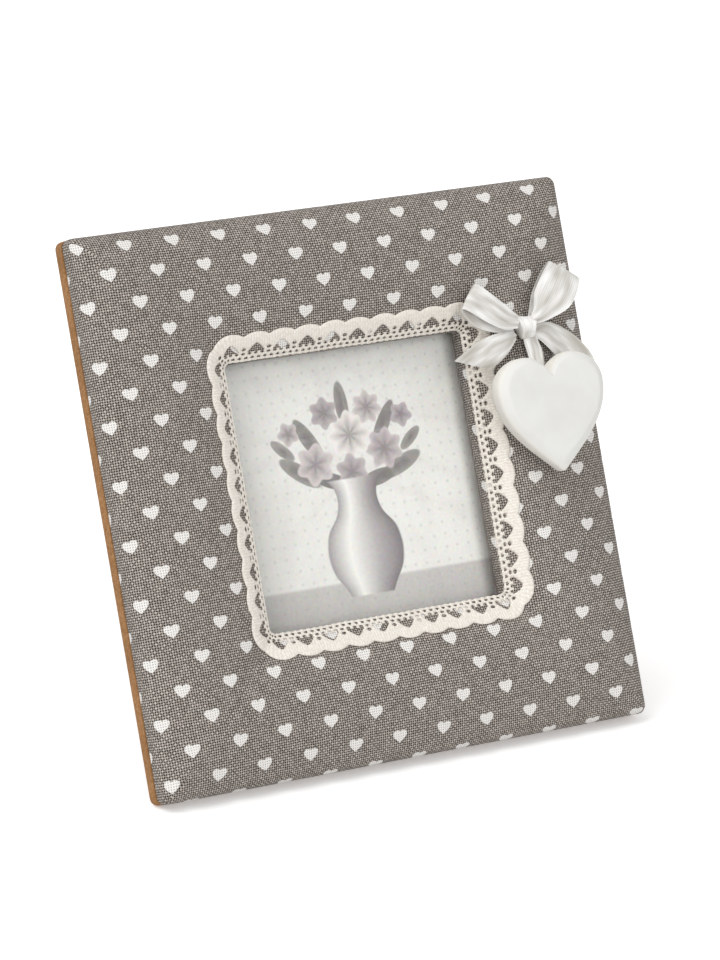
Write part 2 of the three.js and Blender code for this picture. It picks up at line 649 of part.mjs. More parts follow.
const rightTail = fromKnot([
  [atKnot, -0.2, crest - 0.02, 0, 0.15],
  [0.78, -0.26, crest, 0.18, 0.29],
  [1.3, -0.68, crest - 0.01, 0.27, 0.36],
  [1.66, -1.08, 0.1, 0.38, 0.3],
  [1.9, -1.46, 0.06, 0.43, 0.22],
  [1.97, -1.84, 0.03, 0.44, 0.14],
]);
addMesh(bow, "bow_left_loop", ribbon(leftLoop), satin);
addMesh(bow, "bow_right_loop", ribbon(rightLoop), satin);
addMesh(bow, "bow_left_tail", ribbon(leftTail), satin);
addMesh(bow, "bow_right_tail", ribbon(rightTail), satin);
const knotOutline = squareOutline(THREE.Shape, KNOT_WIDTH / 2, KNOT_ROUND);
const knot = roundedSlab(knotOutline, new THREE.Vector2(), KNOT_THICK, KNOT_ROUND, EDGE_STEPS)
  .scale(1, KNOT_HEIGHT / KNOT_WIDTH, 1)
  .translate(0, 0, SEAT_GAP);
addMesh(bow, "bow_knot", knot, satin);

// Hanger ribbon: its top swings at the knot, and below its bend it carries the heart
const swingPivot = new THREE.Group();
swingPivot.name = "heart_swing_pivot";
swingPivot.position.set(HEART_RIGHT_OF_KNOT, -KNOT_HEIGHT / 2 - SEAT_GAP, 0);
bow.add(swingPivot);
const heartTopDrop = HEART_BELOW_KNOT - KNOT_HEIGHT / 2 - SEAT_GAP;
const bendDrop = heartTopDrop - BEND_ABOVE_HEART;
const hangerHeight = lowestPly + TAIL_RISE + HEART_OVER_TAILS - SEAT_GAP;
const hangerHalf = HANGER_WIDTH / 2;
const hangerTop = [
  [0, -SHANK_PLAY, hangerHeight - HANGER_DIP, HANGER_PINCH / 2, 0],
  [0, -bendDrop / 2, hangerHeight - HANGER_DIP / 2, hangerHalf, 0],
  [0, -bendDrop + SEAT_GAP, hangerHeight, hangerHalf, 0],
];
addMesh(swingPivot, "hanger_ribbon_top", ribbon(hangerTop), satin);
const liftPivot = new THREE.Group();
liftPivot.name = "heart_lift_pivot";
liftPivot.position.set(0, -bendDrop, hangerHeight);
liftPivot.rotation.x = HEART_TILT;
swingPivot.add(liftPivot);
const hangerLow = -BEND_ABOVE_HEART - HANGER_BEHIND;
const hangerEnd = [
  [0, -SEAT_GAP, 0, hangerHalf, 0],
  [0, hangerLow / 2, 0, hangerHalf, 0],
  [0, hangerLow, 0, hangerHalf, 0],
];
addMesh(liftPivot, "hanger_ribbon_end", ribbon(hangerEnd), satin);
const heartTip = -BEND_ABOVE_HEART - HEART_HEIGHT;
const heartCentre = new THREE.Vector2(0, HEART_FULLEST);
const heart = roundedSlab(heartShape(), heartCentre, HEART_THICK, HEART_ROUND, HEART_STEPS)
  .translate(0, heartTip, RIBBON_THICK / 2 + SEAT_GAP);
addMesh(liftPivot, "wooden_heart", heart, paintedWood);

// Stand the frame on its lower rear edge and the strut's foot, centred over the origin
leaning.rotation.x = Math.PI / 2 - LEAN;
const part = new THREE.Group();
part.add(leaning);
part.updateMatrixWorld(true);
const box = new THREE.Box3().setFromObject(part, true);
leaning.position.set(0, -(box.min.y + box.max.y) / 2, (FRAME_SIDE / 2) * Math.cos(LEAN));

export default part;
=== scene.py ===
# A square picture frame covered in printed cotton, leaning back on its easel strut.
# The sections follow its making: boards, padding, cloth, lace, picture, fittings, bow and heart.
import math
import bpy
from mathutils import Matrix, Vector, noise


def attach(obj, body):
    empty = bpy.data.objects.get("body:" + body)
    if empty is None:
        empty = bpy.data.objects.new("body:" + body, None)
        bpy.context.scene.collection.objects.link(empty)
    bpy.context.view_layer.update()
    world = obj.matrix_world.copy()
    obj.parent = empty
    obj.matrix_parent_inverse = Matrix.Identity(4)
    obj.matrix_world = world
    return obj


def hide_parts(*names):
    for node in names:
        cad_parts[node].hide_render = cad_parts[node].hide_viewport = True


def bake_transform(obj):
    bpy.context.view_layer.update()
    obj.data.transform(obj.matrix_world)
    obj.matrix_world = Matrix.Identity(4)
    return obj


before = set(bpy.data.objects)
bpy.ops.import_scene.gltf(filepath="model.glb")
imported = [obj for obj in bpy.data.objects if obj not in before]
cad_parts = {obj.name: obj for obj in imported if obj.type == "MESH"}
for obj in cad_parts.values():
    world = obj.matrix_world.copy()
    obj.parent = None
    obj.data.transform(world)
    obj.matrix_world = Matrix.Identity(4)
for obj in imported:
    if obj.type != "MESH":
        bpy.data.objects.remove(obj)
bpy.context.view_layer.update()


# Back frame: a ring sawn from medium-density fibreboard and glued behind the covered front.
# Its edges are bare and lightly sanded: pressed fibres, with a darker burn from the saw in places.
# It is modelled flat in millimetres, its rear face at depth 0, and then set on the lean.
LEAN = math.radians(20)
REAR_MIDDLE = (0, 0.0056233, 0.0845723)
ON_THE_LEAN = (
    Matrix.Translation(REAR_MIDDLE)
    @ Matrix.Rotation(math.pi / 2 - LEAN, 4, "X")
    @ Matrix.Scale(0.001, 4)
)
WINDOW_HALF = 43.6
OUTLINE_HALF = 90.0
WINDOW_CORNER = 1.5
OUTLINE_CORNER = 2.6


def corner_radius(half):
    """The ring's corners grow rounder from the window to the outline."""
    share = (half - WINDOW_HALF) / (OUTLINE_HALF - WINDOW_HALF)
    return WINDOW_CORNER + (OUTLINE_CORNER - WINDOW_CORNER) * share


def add_grid(name, columns, rows):
    """A flat grid, 1 wide and 1 high with its middle at 0, that a piece is bent from."""
    bpy.ops.object.select_all(action="DESELECT")
    bpy.ops.mesh.primitive_grid_add(x_subdivisions=columns, y_subdivisions=rows, size=1)
    grid = bpy.context.object
    grid.name = grid.data.name = name
    return grid


def close_seams(gap):
    """Merges the edges that meet on the piece at hand, and turns its faces outwards."""
    bpy.ops.object.mode_set(mode="EDIT")
    bpy.ops.mesh.select_all(action="SELECT")
    bpy.ops.mesh.remove_doubles(threshold=gap)
    bpy.ops.mesh.normals_make_consistent(inside=False)
    bpy.ops.object.mode_set(mode="OBJECT")


def square_ring(name, profile, flat, side_steps, corner_steps):
    """A grid bent into a square ring: columns go round the frame, rows follow the profile of
    (distance from the middle, depth). flat is each row's distance on the unbent cloth, for the UV map."""
    columns = []
    for side in range(4):
        columns += [(side, 2 * step / side_steps - 1, 0.0) for step in range(side_steps + 1)]
        columns += [(side, 1.0, step / corner_steps * math.pi / 2) for step in range(1, corner_steps)]
    columns.append((4, -1.0, 0.0))
    ring = add_grid(name, len(columns) - 1, len(profile) - 1)
    mesh = ring.data
    cells = []
    for vertex in mesh.vertices:
        column = round((vertex.co.x + 0.5) * (len(columns) - 1))
        row = round((vertex.co.y + 0.5) * (len(profile) - 1))
        cells.append((column, row))
        side, along, turn = columns[column]
        half, depth = profile[row]
        radius = corner_radius(half)
        out = half - radius + radius * math.cos(turn)
        up = along * (half - radius) + radius * math.sin(turn)
        turned = Matrix.Rotation(side * math.pi / 2, 2) @ Vector((out, up))
        vertex.co = (turned.x, turned.y, depth)
    uv = mesh.uv_layers[0]
    uv.name = "flat_cloth"
    for face in mesh.polygons:
        side, along, turn = columns[min(cells[v][0] for v in face.vertices)]
        if turn > math.pi / 4 - 0.01:  # past the fold in the middle of a corner
            side += 1
        for loop in face.loop_indices:
            vertex = mesh.loops[loop].vertex_index
            row = cells[vertex][1]
            local = Matrix.Rotation(-side * math.pi / 2, 2) @ mesh.vertices[vertex].co.to_2d()
            local.x += flat[row] - profile[row][0]
            uv.data[loop].uv = Matrix.Rotation(side * math.pi / 2, 2) @ local
    close_seams(0.001)
    return ring


def srgb(code):
    """A hex colour as linear values with full alpha."""
    shares = [int(code[i:i + 2], 16) / 255 for i in (0, 2, 4)]
    return [s / 12.92 if s <= 0.04045 else ((s + 0.055) / 1.055) ** 2.4 for s in shares] + [1.0]


def start_material(name):
    """A new material, its node tree, and the shader in it."""
    material = bpy.data.materials.new(name)
    material.use_nodes = True
    return material, material.node_tree, material.node_tree.nodes["Principled BSDF"]


def set_inputs(tree, node, inputs):
    """Gives each input a value, or links it to a socket or to a node that has one output in use."""
    for name, value in inputs.items():
        if isinstance(value, bpy.types.Node):
            [value] = [socket for socket in value.outputs if socket.enabled]
        if isinstance(value, bpy.types.NodeSocket):
            tree.links.new(value, node.inputs[name])
        else:
            node.inputs[name].default_value = value


def add_node(tree, kind, inputs, **settings):
    """Adds a shader node of a kind, with its settings and its inputs."""
    node = tree.nodes.new("ShaderNode" + kind)
    for name, value in settings.items():
        setattr(node, name, value)
    set_inputs(tree, node, inputs)
    return node


# Fibreboard scatters light evenly: a warm brown with specks of single fibres under 1 mm.
fibreboard, tree, shader = start_material("medium_density_fibreboard")
place = add_node(tree, "TexCoord", {}).outputs["Object"]
fibres = add_node(tree, "TexNoise", {"Vector": place, "Scale": 1 / 0.0007, "Detail": 3.0})
clouds = add_node(tree, "TexNoise", {"Vector": place, "Scale": 1 / 0.014, "Detail": 3.0})
specks = add_node(tree, "MapRange", {"Value": fibres.outputs["Fac"], "From Min": 0.3, "From Max": 0.7})
plain = add_node(tree, "Mix", {
    "Factor": specks, "A": srgb("8F663D"), "B": srgb("B98C61")}, data_type="RGBA")
burnt = add_node(tree, "MapRange", {
    "Value": clouds.outputs["Fac"], "From Min": 0.45, "From Max": 0.75, "To Max": 0.45})
tone = add_node(tree, "Mix", {"Factor": burnt, "A": plain, "B": srgb("805A36")}, data_type="RGBA")
relief = add_node(tree, "Bump", {"Height": fibres.outputs["Fac"], "Strength": 0.6, "Distance": 0.00015})
set_inputs(tree, shader, {
    "Base Color": tone, "Normal": relief, "Roughness": 0.88, "Specular IOR Level": 0.25})

# Its section: the pocket's wall, and outer edges eased with sandpaper, (distance inward, depth).
POCKET_HALF = 45.5
BOARD_THICK = 4.5
EASED = 0.45
SAWN_EDGE = math.radians(35)
eased_edge = [(EASED, 0), (EASED * 0.3, EASED * 0.3), (0, EASED)]
board_section = [
    (POCKET_HALF, 0),
    *((OUTLINE_HALF - inward, depth) for inward, depth in eased_edge),
    *((OUTLINE_HALF - inward, BOARD_THICK - depth) for inward, depth in eased_edge[::-1]),
    (POCKET_HALF, BOARD_THICK),
    (POCKET_HALF, 0),
]
back_frame = square_ring("back_frame_board", board_section, [half for half, depth in board_section], 6, 8)
back_frame.data.transform(ON_THE_LEAN)
back_frame.data.materials.append(fibreboard)
bpy.ops.object.shade_smooth_by_angle(angle=SAWN_EDGE)
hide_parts("back_frame")
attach(back_frame, "frame")


# Front board: a thinner ring of the same fibreboard that the cloth is stretched over.
# The cloth hides it on every side, so it keeps its sawn shape.
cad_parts["front_board"].material_slots[0].material = fibreboard


# Wadding: thick polyester fleece glued on the front board, which gives the border its crown.
# The cloth draws it down to the board at the outline, and leaves a soft lip at the window.
# It swells over SLOPE mm from the window's lip, and from the outline, to the crown at depth FRONT.
SLOPE = 22.95
FRONT = 17.4
BOARD_FRONT = 8.2
LIP = 10.3
FULLNESS = 2.5
FLEECE_INSET = 0.9
FLEECE_BACK = 8.5


def padded_front(inset, base, steps):
    """The rounded front as (distance from the middle, depth), from the window to the outline."""
    at_window = []
    at_outline = []
    for step in range(steps + 1):
        share = step / steps
        filled = 1 - (1 - share) ** FULLNESS
        at_window.append((
            WINDOW_HALF + inset + (SLOPE - inset) * share,
            LIP - inset + (FRONT - LIP) * filled))
        angle = share * math.pi / 2
        at_outline.append((
            OUTLINE_HALF - inset - (SLOPE - inset) * (1 - math.cos(angle)),
            base + (FRONT - inset - base) * math.sin(angle)))
    return at_window + at_outline[::-1]


fleece_edge = (WINDOW_HALF + FLEECE_INSET, FLEECE_BACK)
fleece_section = [fleece_edge, *padded_front(FLEECE_INSET, FLEECE_BACK, 5), fleece_edge]
wadding = square_ring("wadding_fleece", fleece_section, [half for half, depth in fleece_section], 10, 5)
wadding.data.transform(ON_THE_LEAN)

# Polyester fleece is a white tangle of fibres that scatters light softly.
fleece, tree, shader = start_material("polyester_fleece")
place = add_node(tree, "TexCoord", {}).outputs["Object"]
tangle = add_node(tree, "TexNoise", {"Vector": place, "Scale": 1 / 0.002, "Detail": 5.0})
tone = add_node(tree, "Mix", {
    "Factor": tangle.outputs["Fac"], "A": srgb("DEDCD6"), "B": srgb("FAF9F6")}, data_type="RGBA")
relief = add_node(tree, "Bump", {"Height": tangle.outputs["Fac"], "Distance": 0.0004})
set_inputs(tree, shader, {"Base Color": tone, "Normal": relief, "Roughness": 0.95})
wadding.data.materials.append(fleece)
bpy.ops.object.shade_smooth()
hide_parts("wadding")
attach(wadding, "frame")


# Cloth cover: taupe half-panama cotton printed with white hearts, stretched over the padding and
# glued behind the front board. The print runs on over the rounded sides; the corners are folded.
# It turns from one hem round the window, and round the outline to the other: (distance, depth).
CLOTH_TURN_IN = 10.0
CLOTH_BACK = 4.8
CLOTH_STEPS = 16
CLOTH_THICK = 0.4
window_turn = [
    (CLOTH_TURN_IN, CLOTH_BACK), (1.0, CLOTH_BACK), (0.7, 5.2), (0.1, 6.7), (0, 7.4), (0, LIP - 0.5),
    (0.08, LIP - 0.16), (0.3, LIP + 0.15),
]
outline_turn = [
    (0, (CLOTH_BACK + BOARD_FRONT) / 2), (0, CLOTH_BACK + 0.9), (0.3, CLOTH_BACK + 0.3), (1.0, CLOTH_BACK),
    (CLOTH_TURN_IN, CLOTH_BACK),
]
face_section = padded_front(0, BOARD_FRONT, CLOTH_STEPS)
cloth_section = [
    *((WINDOW_HALF + outward, depth) for outward, depth in window_turn),
    *face_section[1:],
    *((OUTLINE_HALF - inward, depth) for inward, depth in outline_turn),
]
lengths = [0.0]
for (half, depth), (next_half, next_depth) in zip(cloth_section, cloth_section[1:]):
    lengths.append(lengths[-1] + math.hypot(next_half - half, next_depth - depth))
crown = cloth_section.index(face_section[CLOTH_STEPS])
cut_to = [length - lengths[crown] + cloth_section[crown][0] for length in lengths]
cloth = square_ring("cloth_cover_printed", cloth_section, cut_to, 64, 10)

# It was pulled on by hand, so its print is bowed: shifts in mm for each power of x and of y over 90 mm.
BOWED = (
    (0, 1, -0.39, 0.91), (0, 2, -0.4, -0.1), (0, 3, 0.49, -0.79), (1, 0, 0.93, -0.2), (1, 1, -0.33, 0.55),
    (1, 2, -0.83, -0.1), (2, 0, -0.14, -0.79), (2, 1, -0.03, -1.42), (3, 0, -1.32, -0.9),
)
for corner in cloth.data.uv_layers[0].data:
    x, y = (max(-1.0, min(1.0, part / OUTLINE_HALF)) for part in corner.uv)
    for x_power, y_power, aside, upward in BOWED:
        corner.uv += Vector((aside, upward)) * x ** x_power * y ** y_power

# The padding gives the front an uneven hand-pulled surface: (height, width) of its puckers in mm.
PUCKERS = ((0.14, 17), (0.07, 6))


def give_thickness(sheet, thickness, offset):
    """Makes a sheet a thin closed body; it grows behind the sheet at offset -1, to both sides at 0."""
    body = sheet.modifiers.new("thickness", "SOLIDIFY")
    body.thickness = thickness
    body.offset = offset
    bpy.ops.object.modifier_apply(modifier=body.name)


for vertex in cloth.data.vertices:
    share = max(0, (vertex.co.z - BOARD_FRONT) / (FRONT - BOARD_FRONT))
    vertex.co.z += share * sum(height * noise.noise(vertex.co / width) for height, width in PUCKERS)
give_thickness(cloth, CLOTH_THICK, -1)
cloth.data.transform(ON_THE_LEAN)

# Woven cotton: threads 0.8 mm apart, no gloss, uneven yarn, painted dark in the gaps where they cross:
# painted shade.
# The hearts are a thin white print that lies on top of the threads and misses the gaps.
THREAD = 0.8
PRINT_PITCH = (16.38, 18.62)
PRINT_ORIGIN = (-6.34, 9.9)
PRINT_HALF = (2.52, 1.8)
PRINT_WAVER = 0.5


def band_scale(pitch):
    """The scale at which the bands of a wave texture lie one pitch apart."""
    return math.pi / (10 * pitch)


cotton, tree, shader = start_material("printed_cotton_canvas")
flat = add_node(tree, "UVMap", {}, uv_map="flat_cloth")
pull = add_node(tree, "TexNoise", {"Vector": flat, "Scale": 1 / 9, "Detail": 2.0})
pulled = add_node(tree, "VectorMath", {
    0: pull.outputs["Color"], 1: (0.7, 0.7, 0), 2: flat}, operation="MULTIPLY_ADD")
slubs = add_node(tree, "TexNoise", {"Vector": flat, "Scale": 1 / 1.3, "Detail": 2.0})
threads = add_node(tree, "VectorMath", {
    0: slubs.outputs["Color"], 1: (0.1, 0.1, 0), 2: pulled}, operation="MULTIPLY_ADD")
warp = add_node(tree, "TexWave", {"Vector": threads, "Scale": band_scale(THREAD)}, bands_direction="X")
weft = add_node(tree, "TexWave", {"Vector": threads, "Scale": band_scale(THREAD)}, bands_direction="Y")
crossing = add_node(tree, "TexChecker", {"Vector": threads, "Scale": 1 / THREAD})

# A thread is round, and bows over those that it crosses. The colour follows this height, light on the tops
# and dark on
# the sides and in the gaps: painted shade. Alternate crossings are painted darker, where the crossing
# thread lies less
# lit: painted shade too. Single threads are lighter or darker along their whole length, and each crossing
# is a little different.
tops = []
tones = []
for thread, crossed_by, stretch in (
    (warp, weft, (1 / THREAD, 0.06, 0)), (weft, warp, (0.06, 1 / THREAD, 0)),
):
    bow = add_node(tree, "Math", {0: crossed_by.outputs["Fac"], 1: 0.15, 2: 0.85}, operation="MULTIPLY_ADD")
    rounded = add_node(tree, "Math", {0: thread.outputs["Fac"], 1: 0.6}, operation="POWER")
    tops.append(add_node(tree, "Math", {0: rounded, 1: bow}, operation="MULTIPLY"))
    lengthwise = add_node(tree, "VectorMath", {0: threads, 1: stretch}, operation="MULTIPLY")
    tones.append(add_node(tree, "TexNoise", {"Vector": lengthwise, "Scale": 0.8}).outputs["Fac"])
weave = add_node(tree, "Math", {0: tops[0], 1: tops[1]}, operation="MAXIMUM")
yarn = add_node(tree, "Mix", {"Factor": crossing.outputs["Fac"], "A": tones[0], "B": tones[1]})
counted = add_node(tree, "VectorMath", {0: threads, 1: (THREAD, THREAD, 1)}, operation="DIVIDE")
crossed = add_node(tree, "VectorMath", {0: counted}, operation="FLOOR")
chance = add_node(tree, "TexWhiteNoise", {"Vector": crossed}, noise_dimensions="2D")
spread = add_node(tree, "Math", {0: chance.outputs["Value"], 1: 0.26, 2: -0.91}, operation="MULTIPLY_ADD")
uneven = add_node(tree, "Math", {0: yarn, 1: 0.15, 2: spread}, operation="MULTIPLY_ADD")
warp_lit = add_node(tree, "Math", {
    0: crossing.outputs["Fac"], 1: -0.24, 2: uneven}, operation="MULTIPLY_ADD")
height = add_node(tree, "Math", {0: weave, 1: 1.7, 2: warp_lit}, operation="MULTIPLY_ADD")
# painted shade: the thread height mapped from near black in the gaps to pale on the thread tops
cloth_tone = add_node(tree, "ValToRGB", {"Fac": height})
cloth_tone.color_ramp.elements[0].color = srgb("1F1B18")
cloth_tone.color_ramp.elements[1].color = srgb("D2C9C0")
cloth_tone.color_ramp.elements.new(0.46).color = srgb("8D857E")

# Two staggered lattices of hearts, each heart a circle whose top is lifted at both sides.
print_edge = add_node(tree, "VectorMath", {
    0: slubs.outputs["Color"], 1: (PRINT_WAVER, PRINT_WAVER, 0), 2: flat}, operation="MULTIPLY_ADD")
halves_per_pitch = [pitch / half for pitch, half in zip(PRINT_PITCH, PRINT_HALF)]
prints = []
for shift in (0.0, 0.5):
    start = [PRINT_ORIGIN[i] + PRINT_WAVER / 2 + (shift - 0.5) * PRINT_PITCH[i] for i in (0, 1)]
    moved = add_node(tree, "VectorMath", {0: print_edge, 1: (*start, 0)}, operation="SUBTRACT")
    cells = add_node(tree, "VectorMath", {0: moved, 1: (*PRINT_PITCH, 1)}, operation="DIVIDE")
    within = add_node(tree, "VectorMath", {0: cells}, operation="FRACTION")
    from_middle = add_node(tree, "VectorMath", {
        0: within, 1: (*halves_per_pitch, 0),
        2: (*(-count / 2 for count in halves_per_pitch), 0)}, operation="MULTIPLY_ADD")
    whole = add_node(tree, "VectorMath", {0: cells}, operation="FLOOR")
    chance = add_node(tree, "TexWhiteNoise", {"Vector": whole}, noise_dimensions="2D")
    tilt = add_node(tree, "MapRange", {"Value": chance.outputs["Value"], "To Min": -0.16, "To Max": 0.16})
    tilted = add_node(tree, "VectorRotate", {
        "Vector": from_middle, "Angle": tilt}, rotation_type="Z_AXIS")
    parts = add_node(tree, "SeparateXYZ", {"Vector": tilted})
    aside = add_node(tree, "Math", {0: parts.outputs["X"]}, operation="ABSOLUTE")
    lobes = add_node(tree, "Math", {0: aside, 1: 0.62}, operation="POWER")
    lowered = add_node(tree, "Math", {
        0: lobes, 1: -0.72, 2: parts.outputs["Y"]}, operation="MULTIPLY_ADD")
    lowered_twice = add_node(tree, "Math", {0: lowered, 1: lowered}, operation="MULTIPLY")
    reach = add_node(tree, "Math", {0: aside, 1: aside, 2: lowered_twice}, operation="MULTIPLY_ADD")
    inside = add_node(tree, "MapRange", {
        "Value": reach, "From Min": 1.12, "From Max": 0.88}, interpolation_type="SMOOTHSTEP")
    prints.append(inside)
both = add_node(tree, "Math", {0: prints[0], 1: prints[1]}, operation="MAXIMUM")
on_threads = add_node(tree, "MapRange", {"Value": weave, "From Min": 0.3, "From Max": 0.8, "To Min": 0.5})
ink = add_node(tree, "Math", {0: both, 1: on_threads}, operation="MULTIPLY")
printed = add_node(tree, "Mix", {
    "Factor": ink, "A": cloth_tone.outputs["Color"], "B": srgb("F6F3EF")}, data_type="RGBA")
relief = add_node(tree, "Bump", {"Height": weave, "Strength": 0.7, "Distance": 0.0002})
set_inputs(tree, shader, {
    "Base Color": printed, "Normal": relief, "Roughness": 0.92, "Specular IOR Level": 0.2})
cloth.data.materials.append(cotton)
bpy.ops.object.shade_smooth()
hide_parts("cloth_cover")
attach(cloth, "frame")


# Lace edging: one strip of cream cotton crochet lace glued round the window, gathered at its corners.
# From its inner edge: small loops, two rows of little holes, an arched eyelet in each scallop, and a
# dense scalloped border. One repeat is modelled, arrayed into the strip, and laid round the window.
LACE_PITCH = 9.27
LACE_WIDTH = 8.75
SCALLOP_RISE = 1.3
LACE_COLUMNS = 28
LACE_ROWS = 36
LACE_MERGE = 0.02
SMALL_PITCH = LACE_PITCH / 4
SMALL_ROWS = ((2.8, 0.0), (1.3, 0.5))
SMALL_HOLE = (0.52, 0.36)
BAR_HOLE_ROW = 4.4
BAR_HOLE = (0.6, 0.45)
ARCH_LOW = 3.5
ARCH_TALL = 2.5
ARCH_HALF = 2.85
SCALLOPED_FROM = 0.7
INNER_LOOP = 0.2


def in_lace_hole(along, across):
    """True inside an opening of one repeat; along runs from 0 to LACE_PITCH, across from the inner edge."""
    from_middle = abs(along - LACE_PITCH / 2)
    rise = (across - ARCH_LOW) / ARCH_TALL
    if 0 < rise < 1 and from_middle < ARCH_HALF * (1 - rise) ** 0.7:
        return True
    from_bar = min(along, LACE_PITCH - along)
    if math.hypot(from_bar / BAR_HOLE[0], (across - BAR_HOLE_ROW) / BAR_HOLE[1]) < 1:
        return True
    for row, shift in SMALL_ROWS:
        small = (along / SMALL_PITCH + shift + 0.5) % 1 - 0.5
        if math.hypot(small * SMALL_PITCH / SMALL_HOLE[0], (across - row) / SMALL_HOLE[1]) < 1:
            return True
    return False


lace = add_grid("lace_edging_crochet", LACE_COLUMNS, LACE_ROWS)
for vertex in lace.data.vertices:
    along = (vertex.co.x + 0.5) * LACE_PITCH
    share = vertex.co.y + 0.5
    level = share * LACE_WIDTH
    if share > SCALLOPED_FROM:
        scallop = SCALLOP_RISE * (1 - abs(2 * along / LACE_PITCH - 1) ** 2.2)
        level += scallop * ((share - SCALLOPED_FROM) / (1 - SCALLOPED_FROM)) ** 1.5
    loops = INNER_LOOP * math.cos(2 * math.pi * along / SMALL_PITCH) * (1 - share) ** 8
    vertex.co = (along, level - loops, 0)
bpy.ops.object.mode_set(mode="EDIT")
bpy.ops.mesh.select_all(action="DESELECT")
bpy.ops.object.mode_set(mode="OBJECT")
for face in lace.data.polygons:
    face.select = in_lace_hole(face.center.x, face.center.y)
bpy.ops.object.mode_set(mode="EDIT")
bpy.ops.mesh.delete(type="FACE")
bpy.ops.object.mode_set(mode="OBJECT")

# Crochet stands up from the cloth: round cords between the holes, thin at every edge.
# Their height goes by the rings of corners, counted in from the nearest edge.
CORD_HEIGHTS = (0.0, 0.22, 0.34, 0.4, 0.43)
uses = {}
for face in lace.data.polygons:
    for key in face.edge_keys:
        uses[key] = uses.get(key, 0) + 1
ends = {v.index for v in lace.data.vertices if v.co.x < 0.001 or v.co.x > LACE_PITCH - 0.001}
rims = [key for key, count in uses.items() if count == 1 and not (key[0] in ends and key[1] in ends)]
layer = {v for key in rims for v in key}
depth_of = {v: 0 for v in layer}
for ring in range(1, len(CORD_HEIGHTS)):
    layer = {w for key in uses for v, w in (key, key[::-1]) if v in layer and w not in depth_of}
    depth_of.update({v: ring for v in layer})
for vertex in lace.data.vertices:
    vertex.select = depth_of.get(vertex.index) == 0 and vertex.index not in ends
bpy.ops.object.mode_set(mode="EDIT")
bpy.ops.mesh.select_mode(type="VERT")
bpy.ops.mesh.vertices_smooth(factor=0.5, repeat=2)
bpy.ops.object.mode_set(mode="OBJECT")
for vertex in lace.data.vertices:
    vertex.co.z = CORD_HEIGHTS[depth_of.get(vertex.index, len(CORD_HEIGHTS) - 1)]

SIDE_REPEATS = 9
CORNER_REPEATS = 1
QUARTER = (SIDE_REPEATS + CORNER_REPEATS) * LACE_PITCH
strip = lace.modifiers.new("strip", "ARRAY")
strip.count = 4 * (SIDE_REPEATS + CORNER_REPEATS)
strip.use_relative_offset = False
strip.use_constant_offset = True
strip.constant_offset_displace = (LACE_PITCH, 0, 0)
strip.use_merge_vertices = True
strip.merge_threshold = LACE_MERGE
bpy.ops.object.modifier_apply(modifier=strip.name)

# The strip is laid up the slope round the window and gathered at the corners, just clear of the cloth.
# It was glued on a little above and to the right of the middle.
TURN_AT = 41.7
LACE_INNER = 43.7
LACE_SHIFT = Vector((0.2, 0.3))
LACE_LIFT = 0.3
LACE_THICK = 0.3
LACE_WAVER = 0.3
LACE_UNEVEN = 0.1
CORNER_GATHER = 0.3
CLIMB_STEP = 0.1
CLIMB_STEPS = 100


def steepness(left):
    """The rise per mm of the padding, with a share of its slope left to climb."""
    return (FRONT - LIP) * FULLNESS / SLOPE * left ** (FULLNESS - 1)


climb = [(0.0, LACE_INNER)]
for step in range(1, CLIMB_STEPS + 1):
    half = LACE_INNER + CLIMB_STEP * step
    stretched = CLIMB_STEP * math.hypot(1, steepness(1 - (half - WINDOW_HALF) / SLOPE))
    climb.append((climb[-1][0] + stretched, half))
uv = lace.data.uv_layers[0]
uv.name = "flat_lace"
for loop in lace.data.loops:
    uv.data[loop.index].uv = lace.data.vertices[loop.vertex_index].co.to_2d()
for vertex in lace.data.vertices:
    along, across, high = vertex.co
    along = (along + LACE_PITCH / 2) % (4 * QUARTER)
    side = int(along // QUARTER)
    rest = (along - side * QUARTER) / LACE_PITCH
    laid = max(0.0, across + LACE_WAVER * noise.noise(Vector((along / 11, 0, 3))))
    upper = next(i for i in range(1, CLIMB_STEPS + 1) if climb[i][0] >= laid or i == CLIMB_STEPS)
    (low, near_half), (top, far_half) = climb[upper - 1:upper + 1]
    out = near_half + (far_half - near_half) * (laid - low) / (top - low) - TURN_AT
    if rest <= SIDE_REPEATS:
        place = Vector((TURN_AT + out, TURN_AT * (2 * rest / SIDE_REPEATS - 1)))
    else:
        turn = (rest - SIDE_REPEATS) / CORNER_REPEATS * math.pi / 2
        place = Vector((TURN_AT + out * math.cos(turn), TURN_AT + out * math.sin(turn)))
        high += CORNER_GATHER * math.sin(2 * turn) * math.exp(-across / 5)
    place = Matrix.Rotation(side * math.pi / 2, 2) @ place + LACE_SHIFT
    far, near = max(abs(place.x), abs(place.y)), min(abs(place.x), abs(place.y))
    radius = corner_radius(far)
    core = far - radius
    if far - near < radius:
        core = (far + near - math.sqrt(2 * radius ** 2 - (far - near) ** 2)) / 2
    outward = Vector((max(0.0, abs(place.x) - core), max(0.0, abs(place.y) - core))).normalized()
    outward = Vector((math.copysign(outward.x, place.x), math.copysign(outward.y, place.y)))
    left = 1 - max(0.0, (core + radius - WINDOW_HALF) / SLOPE)
    tilt = math.atan(steepness(left))
    lift = LACE_LIFT + high + LACE_UNEVEN * noise.noise(Vector((along / 7, across / 5, 0)))
    place -= outward * lift * math.sin(tilt)
    vertex.co = (place.x, place.y, LIP + (FRONT - LIP) * (1 - left ** FULLNESS) + lift * math.cos(tilt))
close_seams(LACE_MERGE)
give_thickness(lace, LACE_THICK, -1)
lace.data.transform(ON_THE_LEAN)
